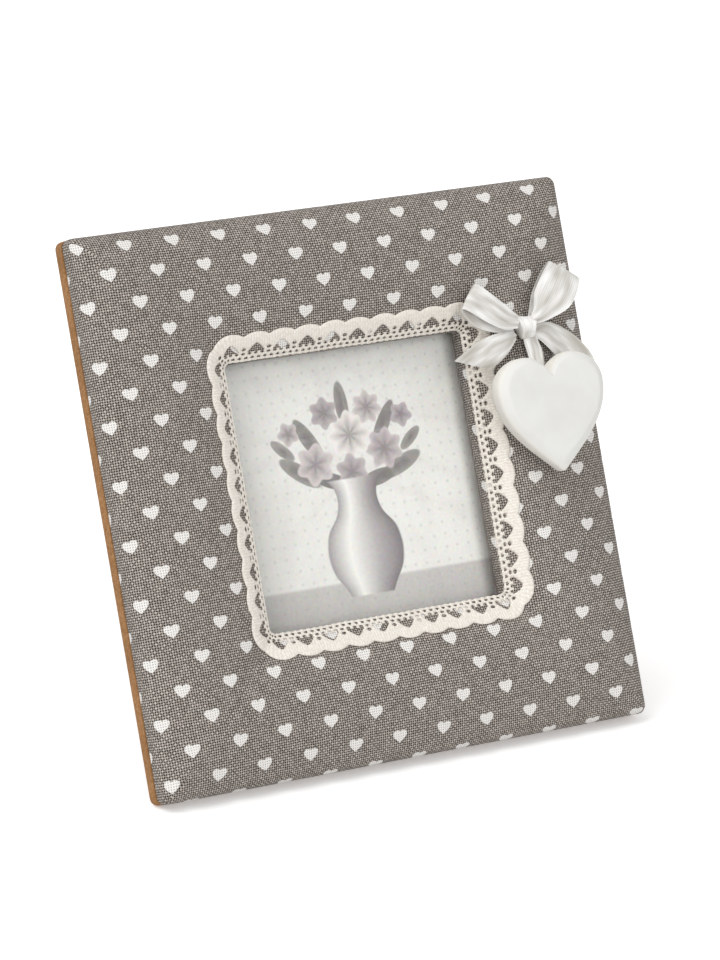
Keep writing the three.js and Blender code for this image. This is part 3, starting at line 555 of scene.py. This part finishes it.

# Crochet cotton: soft cream yarn about 0.5 mm thick, matt, with the ridges of its plies.
# It is painted a little darker where its relief sinks, between stitches and plies: painted shade.
crochet, tree, shader = start_material("crochet_cotton_lace")
flat = add_node(tree, "UVMap", {}, uv_map="flat_lace")
waver = add_node(tree, "TexNoise", {"Vector": flat, "Scale": 1 / 1.6, "Detail": 2.0})
laid = add_node(tree, "VectorMath", {
    0: waver.outputs["Color"], 1: (0.9, 0.9, 0), 2: flat}, operation="MULTIPLY_ADD")
stitches = add_node(tree, "TexVoronoi", {"Vector": laid, "Scale": 1 / 0.62}, feature="F1")
plies = add_node(tree, "TexWave", {
    "Vector": laid, "Scale": band_scale(0.95), "Distortion": 1.5}, bands_direction="X")
ridges = add_node(tree, "Math", {
    0: plies.outputs["Fac"], 1: 0.5, 2: stitches.outputs["Distance"]}, operation="MULTIPLY_ADD")
shade = add_node(tree, "MapRange", {"Value": ridges, "From Min": 0.2, "From Max": 1.0})
tone = add_node(tree, "Mix", {
    "Factor": shade, "A": srgb("FFFBF4"), "B": srgb("ECE4D9")}, data_type="RGBA")
relief = add_node(tree, "Bump", {"Height": ridges, "Strength": 0.6, "Distance": 0.00022}, invert=True)
set_inputs(tree, shader, {
    "Base Color": tone, "Normal": relief, "Roughness": 0.9, "Specular IOR Level": 0.2})
lace.data.materials.append(crochet)
bpy.ops.object.shade_smooth()
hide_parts("lace_edging")
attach(lace, "frame")


# Glass pane: clear float glass cut square, loose in the pocket behind the window.
# Lamps shine straight through it on the picture. Its index is low, because it hardly mirrors the room.
float_glass, tree, shader = start_material("float_glass")
set_inputs(tree, shader, {
    "Base Color": srgb("FDFEFD"), "Roughness": 0.02, "IOR": 1.2, "Transmission Weight": 1.0})
lamp_ray = add_node(tree, "LightPath", {}).outputs["Is Shadow Ray"]
clear = add_node(tree, "BsdfTransparent", {"Color": (0.95, 0.96, 0.95, 1)})
pane = add_node(tree, "MixShader", {0: lamp_ray, 1: shader, 2: clear})
set_inputs(tree, tree.nodes["Material Output"], {"Surface": pane})
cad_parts["glass_pane"].material_slots[0].material = float_glass


# Picture: a printed card behind the glass, with a generic still life in soft greys: a jug of garden
# flowers on a table, in front of pale dotted paper. The drawing is made of plain round shapes, in mm.
CARD_DEPTH = 2.85
card, tree, shader = start_material("printed_card")
place = add_node(tree, "TexCoord", {}).outputs["Object"]
drawing = add_node(tree, "Mapping", {
    "Vector": place, "Location": REAR_MIDDLE, "Rotation": (math.pi / 2 - LEAN, 0, 0),
    "Scale": (0.001, 0.001, 0.001)}, vector_type="TEXTURE")
aged = add_node(tree, "TexNoise", {"Vector": drawing, "Scale": 1 / 22, "Detail": 4.0})
ground = add_node(tree, "Mix", {
    "Factor": aged.outputs["Fac"], "A": srgb("C9C6C3"), "B": srgb("DAD8D5")}, data_type="RGBA")
dots = add_node(tree, "TexVoronoi", {
    "Vector": drawing, "Scale": 1 / 4.2, "Randomness": 0.12}, feature="F1", voronoi_dimensions="2D")
dotted = add_node(tree, "MapRange", {
    "Value": dots.outputs["Distance"], "From Min": 0.15, "From Max": 0.09, "To Max": 0.6})
picture = add_node(tree, "Mix", {"Factor": dotted, "A": ground, "B": srgb("B9B8B5")}, data_type="RGBA")

# Leaves are (middle x, y, half length, half width, turn, colour).
# Flowers are (middle x, y, half width, turn, petals, colour).
LEAVES = (
    (-19, 6, 10, 3.2, 2.5, "86827E"), (-14, 16, 10, 3.0, 2.1, "7C7874"), (18, 4, 10, 3.2, 0.4, "84807C"),
    (14, 18, 10, 2.8, 1.0, "787471"), (0, 26, 9, 2.8, 1.6, "807C78"), (-8, 2, 8, 3.0, 2.8, "6E6A68"),
    (9, 1, 8, 3.0, 0.2, "726E6B"), (23, 12, 6, 2.2, 0.7, "8B8783"), (-24, 14, 6, 2.2, 2.4, "8B8783"),
)
FLOWERS = (
    (-13, 8, 7.4, 0.3, 6, "C3B9B9"), (13, 10, 7.2, 0.9, 7, "B5AAAC"), (1, 16, 8.4, 0.0, 8, "DCD5D2"),
    (-7, 24, 5.6, 0.5, 6, "A89EA1"), (9, 24, 5.8, 0.2, 7, "BFB5B5"), (0, 4, 6.4, 0.6, 6, "ADA2A5"),
    (-21, 19, 4.2, 0.1, 5, "B9AFB0"), (21, 20, 4.4, 0.4, 5, "ABA1A4"),
)
blooms = [(x, y, long, wide, turn, 0, colour) for x, y, long, wide, turn, colour in LEAVES]
blooms += [(x, y, half, half, turn, petals, colour) for x, y, half, turn, petals, colour in FLOWERS]
for x, y, long, wide, turn, petals, colour in blooms:
    own = add_node(tree, "Mapping", {
        "Vector": drawing, "Location": (x, y, CARD_DEPTH), "Rotation": (0, 0, turn),
        "Scale": (long, wide, 8)}, vector_type="TEXTURE")
    nearness = add_node(tree, "TexGradient", {"Vector": own}, gradient_type="SPHERICAL").outputs["Fac"]
    edge = nearness
    if petals:
        around = add_node(tree, "TexGradient", {"Vector": own}, gradient_type="RADIAL").outputs["Fac"]
        angle = add_node(tree, "Math", {0: around, 1: 2 * math.pi * petals}, operation="MULTIPLY")
        wave = add_node(tree, "Math", {0: angle}, operation="COSINE")
        edge = add_node(tree, "Math", {0: wave, 1: 0.12, 2: nearness}, operation="MULTIPLY_ADD")
    inside = add_node(tree, "MapRange", {
        "Value": edge, "From Min": 0.1, "From Max": 0.22, "To Max": 0.95},
        interpolation_type="SMOOTHSTEP")
    depth = add_node(tree, "MapRange", {
        "Value": edge, "From Min": 0.15, "From Max": 0.95, "To Max": 0.75})
    shaded = add_node(tree, "Mix", {
        "Factor": depth, "A": srgb(colour), "B": srgb("574F53")}, data_type="RGBA")
    picture = add_node(tree, "Mix", {"Factor": inside, "A": picture, "B": shaded}, data_type="RGBA")

# The jug: its half width at each height is a curve, and its shade runs round it like a cylinder's.
JUG_LOW = -36.0
JUG_TOP = 2.0
JUG_REACH = 17.0
JUG_EDGE = 0.3
spot = add_node(tree, "SeparateXYZ", {"Vector": drawing})
level = add_node(tree, "MapRange", {
    "Value": spot.outputs["Y"], "From Min": JUG_LOW, "From Max": JUG_TOP})
outline = add_node(tree, "FloatCurve", {"Value": level})
points = outline.mapping.curves[0].points
points[0].location = (0.0, 0.46)
points[1].location = (1.0, 0.6)
for height_share, width_share in ((0.05, 0.52), (0.3, 0.8), (0.5, 0.78), (0.76, 0.45), (0.88, 0.44)):
    points.new(height_share, width_share)
outline.mapping.update()
half_width = add_node(tree, "Math", {0: outline, 1: JUG_REACH}, operation="MULTIPLY")
around = add_node(tree, "Math", {0: spot.outputs["X"], 1: half_width}, operation="DIVIDE")
aside = add_node(tree, "Math", {0: around}, operation="ABSOLUTE")
in_width = add_node(tree, "MapRange", {"Value": aside, "From Min": 1.02, "From Max": 0.97})
above = add_node(tree, "MapRange", {
    "Value": spot.outputs["Y"], "From Min": JUG_LOW - JUG_EDGE, "From Max": JUG_LOW + JUG_EDGE})
below = add_node(tree, "MapRange", {
    "Value": spot.outputs["Y"], "From Min": JUG_TOP + JUG_EDGE, "From Max": JUG_TOP - JUG_EDGE})
in_height = add_node(tree, "Math", {0: above, 1: below}, operation="MULTIPLY")
in_jug = add_node(tree, "Math", {0: in_width, 1: in_height}, operation="MULTIPLY")
turned = add_node(tree, "MapRange", {"Value": around, "From Min": -1.0, "From Max": 1.0})
glaze = add_node(tree, "ValToRGB", {"Fac": turned})
glaze.color_ramp.elements[0].color = srgb("8D8789")
glaze.color_ramp.elements[1].color = srgb("6B6467")
glaze.color_ramp.elements.new(0.3).color = srgb("DAD7D4")
glaze.color_ramp.elements.new(0.65).color = srgb("A49E9F")
table_top = add_node(tree, "MapRange", {
    "Value": spot.outputs["Y"], "From Min": -30.5, "From Max": -31.5, "To Max": 0.55})
with_table = add_node(tree, "Mix", {
    "Factor": table_top, "A": picture, "B": srgb("8F8888")}, data_type="RGBA")
with_jug = add_node(tree, "Mix", {
    "Factor": in_jug, "A": with_table, "B": glaze.outputs["Color"]}, data_type="RGBA")
grain = add_node(tree, "TexNoise", {"Vector": drawing, "Scale": 1 / 0.9, "Detail": 2.0})
softened = add_node(tree, "Mix", {
    "Factor": 0.35, "A": with_jug, "B": grain.outputs["Color"]},
    data_type="RGBA", blend_type="SOFT_LIGHT")

# The print is painted darker toward its edges, most at the right: painted shade from the recess, which
# shadows the card there.
to_right = add_node(tree, "MapRange", {
    "Value": spot.outputs["X"], "From Min": 39.5, "From Max": 44.0, "To Max": 0.55},
    interpolation_type="SMOOTHSTEP")
to_left = add_node(tree, "MapRange", {
    "Value": spot.outputs["X"], "From Min": -18.0, "From Max": -46.0, "To Max": 0.25},
    interpolation_type="SMOOTHSTEP")
painted_shade_toward_edges = add_node(tree, "Math", {0: to_right, 1: to_left}, operation="MAXIMUM")
# painted shade: the card's colour multiplied toward 6E6963 near its right and left edges
with_painted_shade = add_node(tree, "Mix", {
    "Factor": painted_shade_toward_edges, "A": softened, "B": srgb("6E6963")}, data_type="RGBA", blend_type="MULTIPLY")
set_inputs(tree, shader, {"Base Color": with_painted_shade, "Roughness": 0.55})
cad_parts["picture_print"].material_slots[0].material = card


# Back panel and easel strut: sawn from thin hardboard, smooth and slightly shiny on the outside.
# The panel drops into the pocket behind the picture; the strut props the frame up on its hinge.
hardboard, tree, shader = start_material("tempered_hardboard")
place = add_node(tree, "TexCoord", {}).outputs["Object"]
shreds = add_node(tree, "TexNoise", {
    "Vector": place, "Scale": 1 / 0.0016, "Detail": 5.0, "Distortion": 1.5})
clouds = add_node(tree, "TexNoise", {"Vector": place, "Scale": 1 / 0.03, "Detail": 3.0})
flecks = add_node(tree, "MapRange", {"Value": shreds.outputs["Fac"], "From Min": 0.35, "From Max": 0.7})
plain = add_node(tree, "Mix", {
    "Factor": flecks, "A": srgb("7A5535"), "B": srgb("A17850")}, data_type="RGBA")
tone = add_node(tree, "Mix", {
    "Factor": 0.35, "A": plain, "B": clouds.outputs["Color"]}, data_type="RGBA", blend_type="MULTIPLY")
relief = add_node(tree, "Bump", {"Height": shreds.outputs["Fac"], "Strength": 0.25, "Distance": 0.0001})
gloss = add_node(tree, "MapRange", {"Value": clouds.outputs["Fac"], "To Min": 0.42, "To Max": 0.62})
set_inputs(tree, shader, {"Base Color": tone, "Normal": relief, "Roughness": gloss})
for node in ("back_panel", "easel_strut"):
    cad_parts[node].material_slots[0].material = hardboard


# Turn buttons, screws, hinge and rivets: pressed from zinc-plated steel.
# Each button swivels on its screw and holds the panel in; rivets hold the hinge leaves.
zinc, tree, shader = start_material("zinc_plated_steel")
place = add_node(tree, "TexCoord", {}).outputs["Object"]
spangle = add_node(tree, "TexNoise", {"Vector": place, "Scale": 1 / 0.004, "Detail": 4.0})
rubbed = add_node(tree, "Mapping", {"Vector": place, "Scale": (1, 14, 14)})
scratches = add_node(tree, "TexNoise", {"Vector": rubbed, "Scale": 1 / 0.003, "Detail": 3.0})
tone = add_node(tree, "Mix", {
    "Factor": spangle.outputs["Fac"], "A": srgb("A9ABAC"), "B": srgb("D2D3D2")}, data_type="RGBA")
gloss = add_node(tree, "MapRange", {
    "Value": scratches.outputs["Fac"], "From Min": 0.3, "From Max": 0.7, "To Min": 0.26, "To Max": 0.46})
relief = add_node(tree, "Bump", {
    "Height": scratches.outputs["Fac"], "Strength": 0.2, "Distance": 0.00005})
set_inputs(tree, shader, {"Base Color": tone, "Roughness": gloss, "Normal": relief, "Metallic": 1.0})
for name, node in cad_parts.items():
    if name.startswith(("turn_button", "button_screw", "hinge", "panel_rivet", "strut_rivet")):
        node.material_slots[0].material = zinc


# Bow loops and tails: ivory satin ribbon 10 mm wide with heat-sealed edges, knotted by hand.
# The loops stand up from the cloth and spring back to the knot; the tails lie on the cloth and lace.
KNOT = Vector((62.05, 41.3, FRONT))
LOW_PLY = 1.65
RIBBON_STEPS = 10
RIBBON_CELLS = 14
RIBBON_WIDTH = 10.0
RIBBON_THICK = 0.22
RIBBON_CUP = 0.25
PLEAT_REACH = 4.5
SEALED_EDGE = math.radians(60)


def along_curve(points, share):
    """A smooth curve through the points, at a share of the way along it."""
    spans = len(points) - 1
    span = min(int(share * spans), spans - 1)
    t = share * spans - span
    before = points[span - 1] if span else 2 * points[0] - points[1]
    after = points[span + 2] if span + 2 <= spans else 2 * points[-1] - points[-2]
    here, there = points[span], points[span + 1]
    return here + 0.5 * t * (there - before + t * (
        2 * before - 5 * here + 4 * there - after + t * (3 * (here - there) + after - before)))


def ribbon(name, stations, pleats):
    """A strip laid along stations of (x, y, height, half width x, y, z), with pleats at the knot's ends."""
    rows = (len(stations) - 1) * RIBBON_STEPS
    strip = add_grid(name, RIBBON_CELLS, rows)
    middles = [Vector(station[:3]) for station in stations]
    halves = [Vector(station[3:]) for station in stations]
    travelled = [0.0]
    for row in range(rows):
        step = along_curve(middles, (row + 1) / rows) - along_curve(middles, row / rows)
        travelled.append(travelled[-1] + step.length)
    uv = strip.data.uv_layers[0]
    uv.name = "flat_ribbon"
    for loop in strip.data.loops:
        place = strip.data.vertices[loop.vertex_index].co
        uv.data[loop.index].uv = (place.x * RIBBON_WIDTH, travelled[round((place.y + 0.5) * rows)])
    for vertex in strip.data.vertices:
        share = vertex.co.y + 0.5
        across = 2 * vertex.co.x
        row = round(share * rows)
        middle = along_curve(middles, share)
        half = along_curve(halves, share)
        ahead = along_curve(middles, min(share + 0.01, 1)) - along_curve(middles, max(share - 0.01, 0))
        facing = ahead.cross(half).normalized()
        fold = 0.0
        for ends, amount in pleats:
            gone = travelled[row] if ends == "start" else travelled[-1] - travelled[row]
            fold += amount * math.exp(-gone / PLEAT_REACH) * math.cos(across * math.pi * 1.5)
        cup = RIBBON_CUP * (1 - across * across)
        vertex.co = KNOT + middle + half * across + facing * (fold + cup)
    return strip


# Satin: long floats of polyester with fine lengthwise ribs. Its shine is painted into the colour as broad
# lighter
# and darker bands along the ribbon: painted sheen.
# The ribs are drawn 0.5 mm apart, about twice as coarse as real ones, so that they show in the render.
satin, tree, shader = start_material("polyester_satin")
flat = add_node(tree, "UVMap", {}, uv_map="flat_ribbon")
ribs = add_node(tree, "TexWave", {
    "Vector": flat, "Scale": band_scale(0.52), "Distortion": 0.6, "Detail": 1.0}, bands_direction="X")
drawn = add_node(tree, "Mapping", {"Vector": flat, "Scale": (3.0, 0.12, 1)})
floats = add_node(tree, "TexNoise", {"Vector": drawn, "Scale": 1.0, "Detail": 3.0})
# painted sheen: broad noise bands that make the ribbon's colour lighter and darker
bands = add_node(tree, "Mapping", {"Vector": flat, "Scale": (0.3, 0.09, 1)})
painted_sheen = add_node(tree, "TexNoise", {"Vector": bands, "Scale": 1.0, "Detail": 1.0})
streaks = add_node(tree, "Math", {
    0: ribs.outputs["Fac"], 1: 0.3, 2: floats.outputs["Fac"]}, operation="MULTIPLY_ADD")
lustre = add_node(tree, "Math", {0: painted_sheen.outputs["Fac"], 1: 3.6, 2: streaks}, operation="MULTIPLY_ADD")
shade = add_node(tree, "MapRange", {"Value": lustre, "From Min": 1.7, "From Max": 3.2})
tone = add_node(tree, "Mix", {
    "Factor": shade, "A": srgb("BBB6AC"), "B": srgb("FDFCFA")}, data_type="RGBA")
relief = add_node(tree, "Bump", {"Height": ribs.outputs["Fac"], "Strength": 0.5, "Distance": 0.00006})
drawn_along = add_node(tree, "Tangent", {}, direction_type="UV_MAP", uv_map="flat_ribbon")
set_inputs(tree, shader, {
    "Base Color": tone, "Normal": relief, "Roughness": 0.3, "Anisotropic": 0.6, "Tangent": drawn_along})

left_loop = [
    (-3.0, 0.9, LOW_PLY + 0.4, 0.3, 1.9, 0), (-7.5, 3.0, LOW_PLY + 0.2, 1.4, 3.7, -0.2),
    (-13.0, 5.4, LOW_PLY + 0.1, 2.5, 3.9, -0.2), (-17.8, 9.7, LOW_PLY + 0.6, 2.7, 3.8, 0.1),
    (-18.9, 12.0, LOW_PLY + 1.7, 2.6, 3.7, 0.5), (-17.2, 11.3, LOW_PLY + 3.0, 2.5, 3.6, 1.1),
    (-11.4, 6.4, LOW_PLY + 3.7, 1.9, 3.5, 1.2), (-6.9, 3.3, LOW_PLY + 3.7, 0.9, 3.4, 0.6),
    (-2.6, 1.8, LOW_PLY + 3.3, 0.3, 2.1, 0),
]
right_loop = [
    (3.4, 1.6, LOW_PLY + 0.4, 0.3, -1.8, 0), (10.0, 7.6, LOW_PLY + 1.0, 4.0, -3.3, 0),
    (14.7, 14.0, LOW_PLY + 2.7, 4.8, -3.4, 0), (17.1, 16.6, LOW_PLY + 4.5, 4.8, -3.3, 0.2),
    (14.4, 13.4, LOW_PLY + 6.2, 5.6, -3.4, 0.8), (9.6, 7.2, LOW_PLY + 6.5, 5.4, -3.2, 1.2),
    (5.6, 3.3, LOW_PLY + 4.8, 2.0, -2.4, 0.4), (3.0, 1.9, LOW_PLY + 3.4, 0.3, -1.8, 0),
]
left_tail = [
    (-3.0, -2.2, LOW_PLY + 0.8, 0.2, -1.4, 0), (-9.4, -4.6, LOW_PLY + 0.9, 1.9, -3.5, 0.3),
    (-15.4, -7.3, LOW_PLY + 0.4, 3.2, -3.9, 0), (-20.9, -9.8, LOW_PLY, 6.0, -2.1, 0),
]
right_tail = [
    (3.0, -2.0, LOW_PLY + 1.2, 0.2, 1.6, 0), (7.8, -2.5, LOW_PLY + 1.4, 1.8, 2.9, 0.2),
    (13.1, -6.7, LOW_PLY + 1.4, 2.7, 3.7, 0.5), (16.7, -10.7, LOW_PLY + 1.3, 3.9, 3.0, 0.9),
    (19.3, -14.6, LOW_PLY + 1.1, 4.3, 2.2, 1.2), (20.2, -18.4, LOW_PLY + 0.7, 4.5, 1.4, 1.2),
]
for name, node, stations, pleats, length in (
    ("bow_loop_left", "bow_left_loop", left_loop, (("start", 0.3), ("end", 0.35)), 0.042),
    ("bow_loop_right", "bow_right_loop", right_loop, (("start", 0.3), ("end", 0.35)), 0.048),
    ("bow_tail_left", "bow_left_tail", left_tail, (("start", 0.35),), 0.02),
    ("bow_tail_right", "bow_right_tail", right_tail, (("start", 0.35),), 0.024),
):
    piece = ribbon(name, stations, pleats)
    give_thickness(piece, RIBBON_THICK, 0)
    piece.data.transform(ON_THE_LEAN)
    piece.data.materials.append(satin)
    bpy.ops.object.shade_smooth_by_angle(angle=SEALED_EDGE)
    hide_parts(node)
    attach(piece, "frame")


# Bow knot: the same ribbon drawn once over the middle from top to bottom and pulled tight.
# It is widest at the top, and its pull leaves soft upright creases.
KNOT_HALF_WIDTH = 3.1
KNOT_HALF_HEIGHT = 3.9
KNOT_HALF_DEPTH = 3.1
KNOT_FLARE = 0.75
KNOT_WAIST = 0.3
KNOT_CREASE = 0.16
KNOT_ASIDE = 0.95
bpy.ops.object.select_all(action="DESELECT")
bpy.ops.mesh.primitive_cube_add(size=1)
knot = bpy.context.object
knot.name = knot.data.name = "bow_knot_band"
bpy.ops.object.mode_set(mode="EDIT")
bpy.ops.mesh.select_all(action="SELECT")
bpy.ops.mesh.subdivide(number_cuts=11)
bpy.ops.object.mode_set(mode="OBJECT")
for vertex in knot.data.vertices:
    x, y, z = vertex.co * 2
    depth = z * math.sqrt(1 - y * y * (0.55 if y > 0 else 0.85)) * math.sqrt(1 - 0.3 * x * x)
    rise = y * math.sqrt(1 - z * z * 0.5)
    wide = KNOT_HALF_WIDTH + KNOT_FLARE * y - KNOT_WAIST * (1 - y * y)
    crease = KNOT_CREASE * math.cos(x * math.pi * 2.2) * (z > 0.5)
    slump = (0.4 * x + 0.5 * (1 - x * x)) * max(0, y)
    vertex.co = (
        x * wide + KNOT_ASIDE,
        rise * KNOT_HALF_HEIGHT - slump,
        KNOT_HALF_DEPTH + depth * KNOT_HALF_DEPTH + crease,
    )
# Its map is squeezed across and shifted onto a bright stretch of the painted sheen, so that the knot is
# painted light: a painted highlight.
uv = knot.data.uv_layers[0]
uv.name = "flat_ribbon"
for loop in knot.data.loops:
    place = knot.data.vertices[loop.vertex_index].co
    uv.data[loop.index].uv = (0.6 * place.x + 33.2, place.y + place.z + 10)
softened = knot.modifiers.new("soft", "SUBSURF")
softened.levels = softened.render_levels = 1
bpy.ops.object.modifier_apply(modifier=softened.name)
knot.data.transform(ON_THE_LEAN @ Matrix.Translation(KNOT))
knot.data.materials.append(satin)
bpy.ops.object.shade_smooth()
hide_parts("bow_knot")
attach(knot, "frame")


# Hanger ribbon: a folded end of the same ribbon, about 5 mm wide, that comes out under the knot
# and is glued to the back of the heart. The heart hangs from it at its bend.
HANGER = Vector((63.65, 37.3, FRONT))
BEND = Vector((0, -4.3, 3.85))
HANGER_THICK = 0.3
hanger_stations = [
    (0.3, 2.2, 2.7, 2.4, 0, 0.2), (0.4, -1.6, 3.3, 2.6, 0, 0.1), (0.7, -4.3, 3.85, 2.6, 0.1, 0.4),
    (0.9, -9.0, 3.75, 2.5, 0.1, 0.2), (0.5, -15.0, 3.66, 2.4, 0, 0), (0.2, -22.0, 3.54, 2.5, 0, 0),
]
from_knot = [(x + HANGER.x - KNOT.x, y + HANGER.y - KNOT.y, *rest) for x, y, *rest in hanger_stations]
hanger = ribbon("hanger_ribbon_folded", from_knot, (("start", 0.2),))
give_thickness(hanger, HANGER_THICK, 0)
hanger.data.transform(ON_THE_LEAN)
hanger.data.materials.append(satin)
bpy.ops.object.shade_smooth_by_angle(angle=SEALED_EDGE)
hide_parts("hanger_ribbon_top", "hanger_ribbon_end")
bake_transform(hanger)


# Wooden heart: sawn from 9.5 mm board, its edges rounded on both sides, painted matt white.
# The ribbon is glued to its back, and it hangs over the corner of the lace.
HEART_HALF = 20.0
HEART_TALL = 38.6
HEART_THICK = 9.5
HEART_MIDDLE = Vector((0, 24.0))
HEART_BELOW_BEND = 1.9
HEART_BEFORE_BEND = 0.55
HEART_TILT = math.radians(1)
CURVE_STEPS = 14
half_outline = []
for start, pull, push, end in (
    ((0, 0.84), (0.09, 0.95), (0.31, 1.0), (0.42, 1.0)),
    ((0.42, 1.0), (0.71, 1.0), (1.0, 0.9), (1.0, 0.73)),
    ((1.0, 0.73), (1.0, 0.42), (0.49, 0.23), (0.05, 0.02)),
    ((0.05, 0.02), (0.03, 0.012), (0.015, 0.01), (0, 0.01)),
):
    for step in range(CURVE_STEPS):
        t = step / CURVE_STEPS
        half_outline.append(Vector([
            size * ((1 - t) ** 3 * start[i] + 3 * t * (1 - t) ** 2 * pull[i]
                    + 3 * t * t * (1 - t) * push[i] + t ** 3 * end[i])
            for i, size in enumerate((HEART_HALF, HEART_TALL))]))
half_outline.append(Vector((0, 0.01 * HEART_TALL)))
heart_outline = half_outline + [Vector((-point.x, point.y)) for point in half_outline[-2:0:-1]]

# The edges are eased by hand: how far in from the outline, and how far below the flat face or back.
# The rings draw in toward the middle, further at the tip.
TO_MIDDLE = 20.0
TIP_DRAW = 0.4
FACE_EDGE = [
    (0.0, 2.9), (0.12, 2.3), (0.4, 1.8), (0.9, 1.3), (2.3, 0.35), (2.6, 0.16), (2.9, 0.05), (3.3, 0.0),
    (7.0, 0.0), (12.0, 0.0), (TO_MIDDLE, 0.0),
]
BACK_EDGE = [
    (0.0, 4.8), (0.15, 3.4), (0.45, 2.5), (0.95, 1.7), (1.6, 1.05), (2.4, 0.5), (3.0, 0.2), (3.6, 0.0),
    (TO_MIDDLE, 0.0),
]
heart_levels = BACK_EDGE[::-1] + [(inset, HEART_THICK - drop) for inset, drop in FACE_EDGE]
heart = add_grid("wooden_heart_painted", len(heart_outline), len(heart_levels) - 1)
inset_map = heart.data.uv_layers[0]
inset_map.name = "from_edge"
for loop in heart.data.loops:
    share = heart.data.vertices[loop.vertex_index].co.y + 0.5
    inset_map.data[loop.index].uv = (heart_levels[round(share * (len(heart_levels) - 1))][0], 0)
for vertex in heart.data.vertices:
    point = heart_outline[round((vertex.co.x + 0.5) * len(heart_outline)) % len(heart_outline)]
    inset, depth = heart_levels[round((vertex.co.y + 0.5) * (len(heart_levels) - 1))]
    drawn_in = 1 + TIP_DRAW * (1 - point.y / HEART_TALL) ** 3
    place = HEART_MIDDLE + (point - HEART_MIDDLE) * max(0.0, 1 - inset * drawn_in / TO_MIDDLE)
    vertex.co = (place.x, place.y, depth)
close_seams(0.001)
heart.data.transform(
    ON_THE_LEAN
    @ Matrix.Translation(HANGER + BEND)
    @ Matrix.Rotation(HEART_TILT, 4, "X")
    @ Matrix.Translation((0, -HEART_BELOW_BEND - HEART_TALL, HEART_BEFORE_BEND))
)

# Matt white paint: thin brushed coats, a trace of grain. It is painted lighter and warmer on the eased
# edges, partly where the paint thins, and partly as a painted highlight along the rims.
paint, tree, shader = start_material("matt_white_paint_on_wood")
place = add_node(tree, "TexCoord", {}).outputs["Object"]
drawn = add_node(tree, "Mapping", {"Vector": place, "Scale": (1, 1, 0.12)})
brushed = add_node(tree, "TexNoise", {"Vector": drawn, "Scale": 1 / 0.0011, "Detail": 3.0})
uneven = add_node(tree, "TexNoise", {"Vector": place, "Scale": 1 / 0.011, "Detail": 3.0})
tone = add_node(tree, "Mix", {
    "Factor": uneven.outputs["Fac"], "A": srgb("E1E0DB"), "B": srgb("F2F2EF")}, data_type="RGBA")
from_edge = add_node(tree, "UVMap", {}, uv_map="from_edge")
inset = add_node(tree, "SeparateXYZ", {"Vector": from_edge}).outputs["X"]
rim_wear_and_highlight = add_node(tree, "MapRange", {"Value": inset, "From Min": 1.3, "From Max": 0.3, "To Max": 0.5})
worn_and_highlit = add_node(tree, "Mix", {"Factor": rim_wear_and_highlight, "A": tone, "B": srgb("F3EEE3")}, data_type="RGBA")
relief = add_node(tree, "Bump", {"Height": brushed.outputs["Fac"], "Strength": 0.25, "Distance": 0.00008})
set_inputs(tree, shader, {"Base Color": worn_and_highlit, "Normal": relief, "Roughness": 0.6})
heart.data.materials.append(paint)
bpy.ops.object.shade_smooth()
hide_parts("wooden_heart")
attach(heart, "pendant")


# Floor, light and camera: a plain white floor, two large soft lamps, in front and above on the left,
# and a pale room. Floor and room show white wherever the camera sees them, and light the frame less.
# The lens is long, so that the frame keeps its square look.
FLOOR_SIDE = 12
FLOOR_GLOW = 0.36
ROOM_LIGHT = 0.45
LAMP_SPREAD = 0.8
WHITE = (1, 1, 1, 1)


def seen_by_camera(tree):
    """1 for rays from the camera, also by a mirror or through glass, and 0 for those that light a piece."""
    ray = add_node(tree, "LightPath", {}).outputs
    seen = add_node(tree, "Math", {0: ray["Is Camera Ray"], 1: ray["Is Glossy Ray"]}, operation="MAXIMUM")
    return add_node(tree, "Math", {0: seen, 1: ray["Is Transmission Ray"]}, operation="MAXIMUM")


bpy.ops.object.select_all(action="DESELECT")
bpy.ops.mesh.primitive_plane_add(size=FLOOR_SIDE)
floor = bpy.context.object
floor.name = floor.data.name = "floor"
floor_paint, tree, shader = start_material("pale_floor")
glow = add_node(tree, "Math", {0: seen_by_camera(tree), 1: FLOOR_GLOW}, operation="MULTIPLY")
set_inputs(tree, shader, {
    "Base Color": srgb("FAFAFA"), "Roughness": 0.9, "Emission Color": WHITE, "Emission Strength": glow})
floor.data.materials.append(floor_paint)

world = bpy.data.worlds.new("pale_room")
bpy.context.scene.world = world
world.use_nodes = True
tree = world.node_tree
level = add_node(tree, "MapRange", {"Value": seen_by_camera(tree), "To Min": ROOM_LIGHT, "To Max": 1.0})
set_inputs(tree, tree.nodes["Background"], {"Color": WHITE, "Strength": level})

for name, travel, energy in (
    ("front_lamp", (0.12, 0.892, -0.431), 0.68),
    ("upper_left_lamp", (0.55, 0.1, -0.83), 1.4),
):
    bpy.ops.object.light_add(type="SUN", location=Vector(travel) * -2)
    lamp = bpy.context.object
    lamp.name = name
    lamp.data.angle = LAMP_SPREAD
    lamp.data.energy = energy
    lamp.rotation_euler = Vector(travel).to_track_quat("-Z", "Y").to_euler()

AIM = ON_THE_LEAN @ Vector((0, 0, 11.8))
DISTANCE = 1.5964
AZIMUTH = math.radians(29.98)
ELEVATION = math.radians(16.27)
OFF_CENTRE = (-0.002345, 0.00035)
look = Vector((
    math.sin(AZIMUTH) * math.cos(ELEVATION), math.cos(AZIMUTH) * math.cos(ELEVATION), -math.sin(ELEVATION)))
right = look.cross(Vector((0, 0, 1))).normalized()
upward = right.cross(look)
camera_data = bpy.data.cameras.new("camera")
camera = bpy.data.objects.new("camera", camera_data)
bpy.context.scene.collection.objects.link(camera)
camera_data.lens = 186.4
camera_data.sensor_width = 36
camera_data.clip_start = 0.05
camera_data.clip_end = 30
camera.location = AIM - look * DISTANCE + right * OFF_CENTRE[0] + upward * OFF_CENTRE[1]
camera.rotation_euler = look.to_track_quat("-Z", "Y").to_euler()
bpy.context.scene.camera = camera
bpy.context.scene.view_settings.view_transform = "Standard"
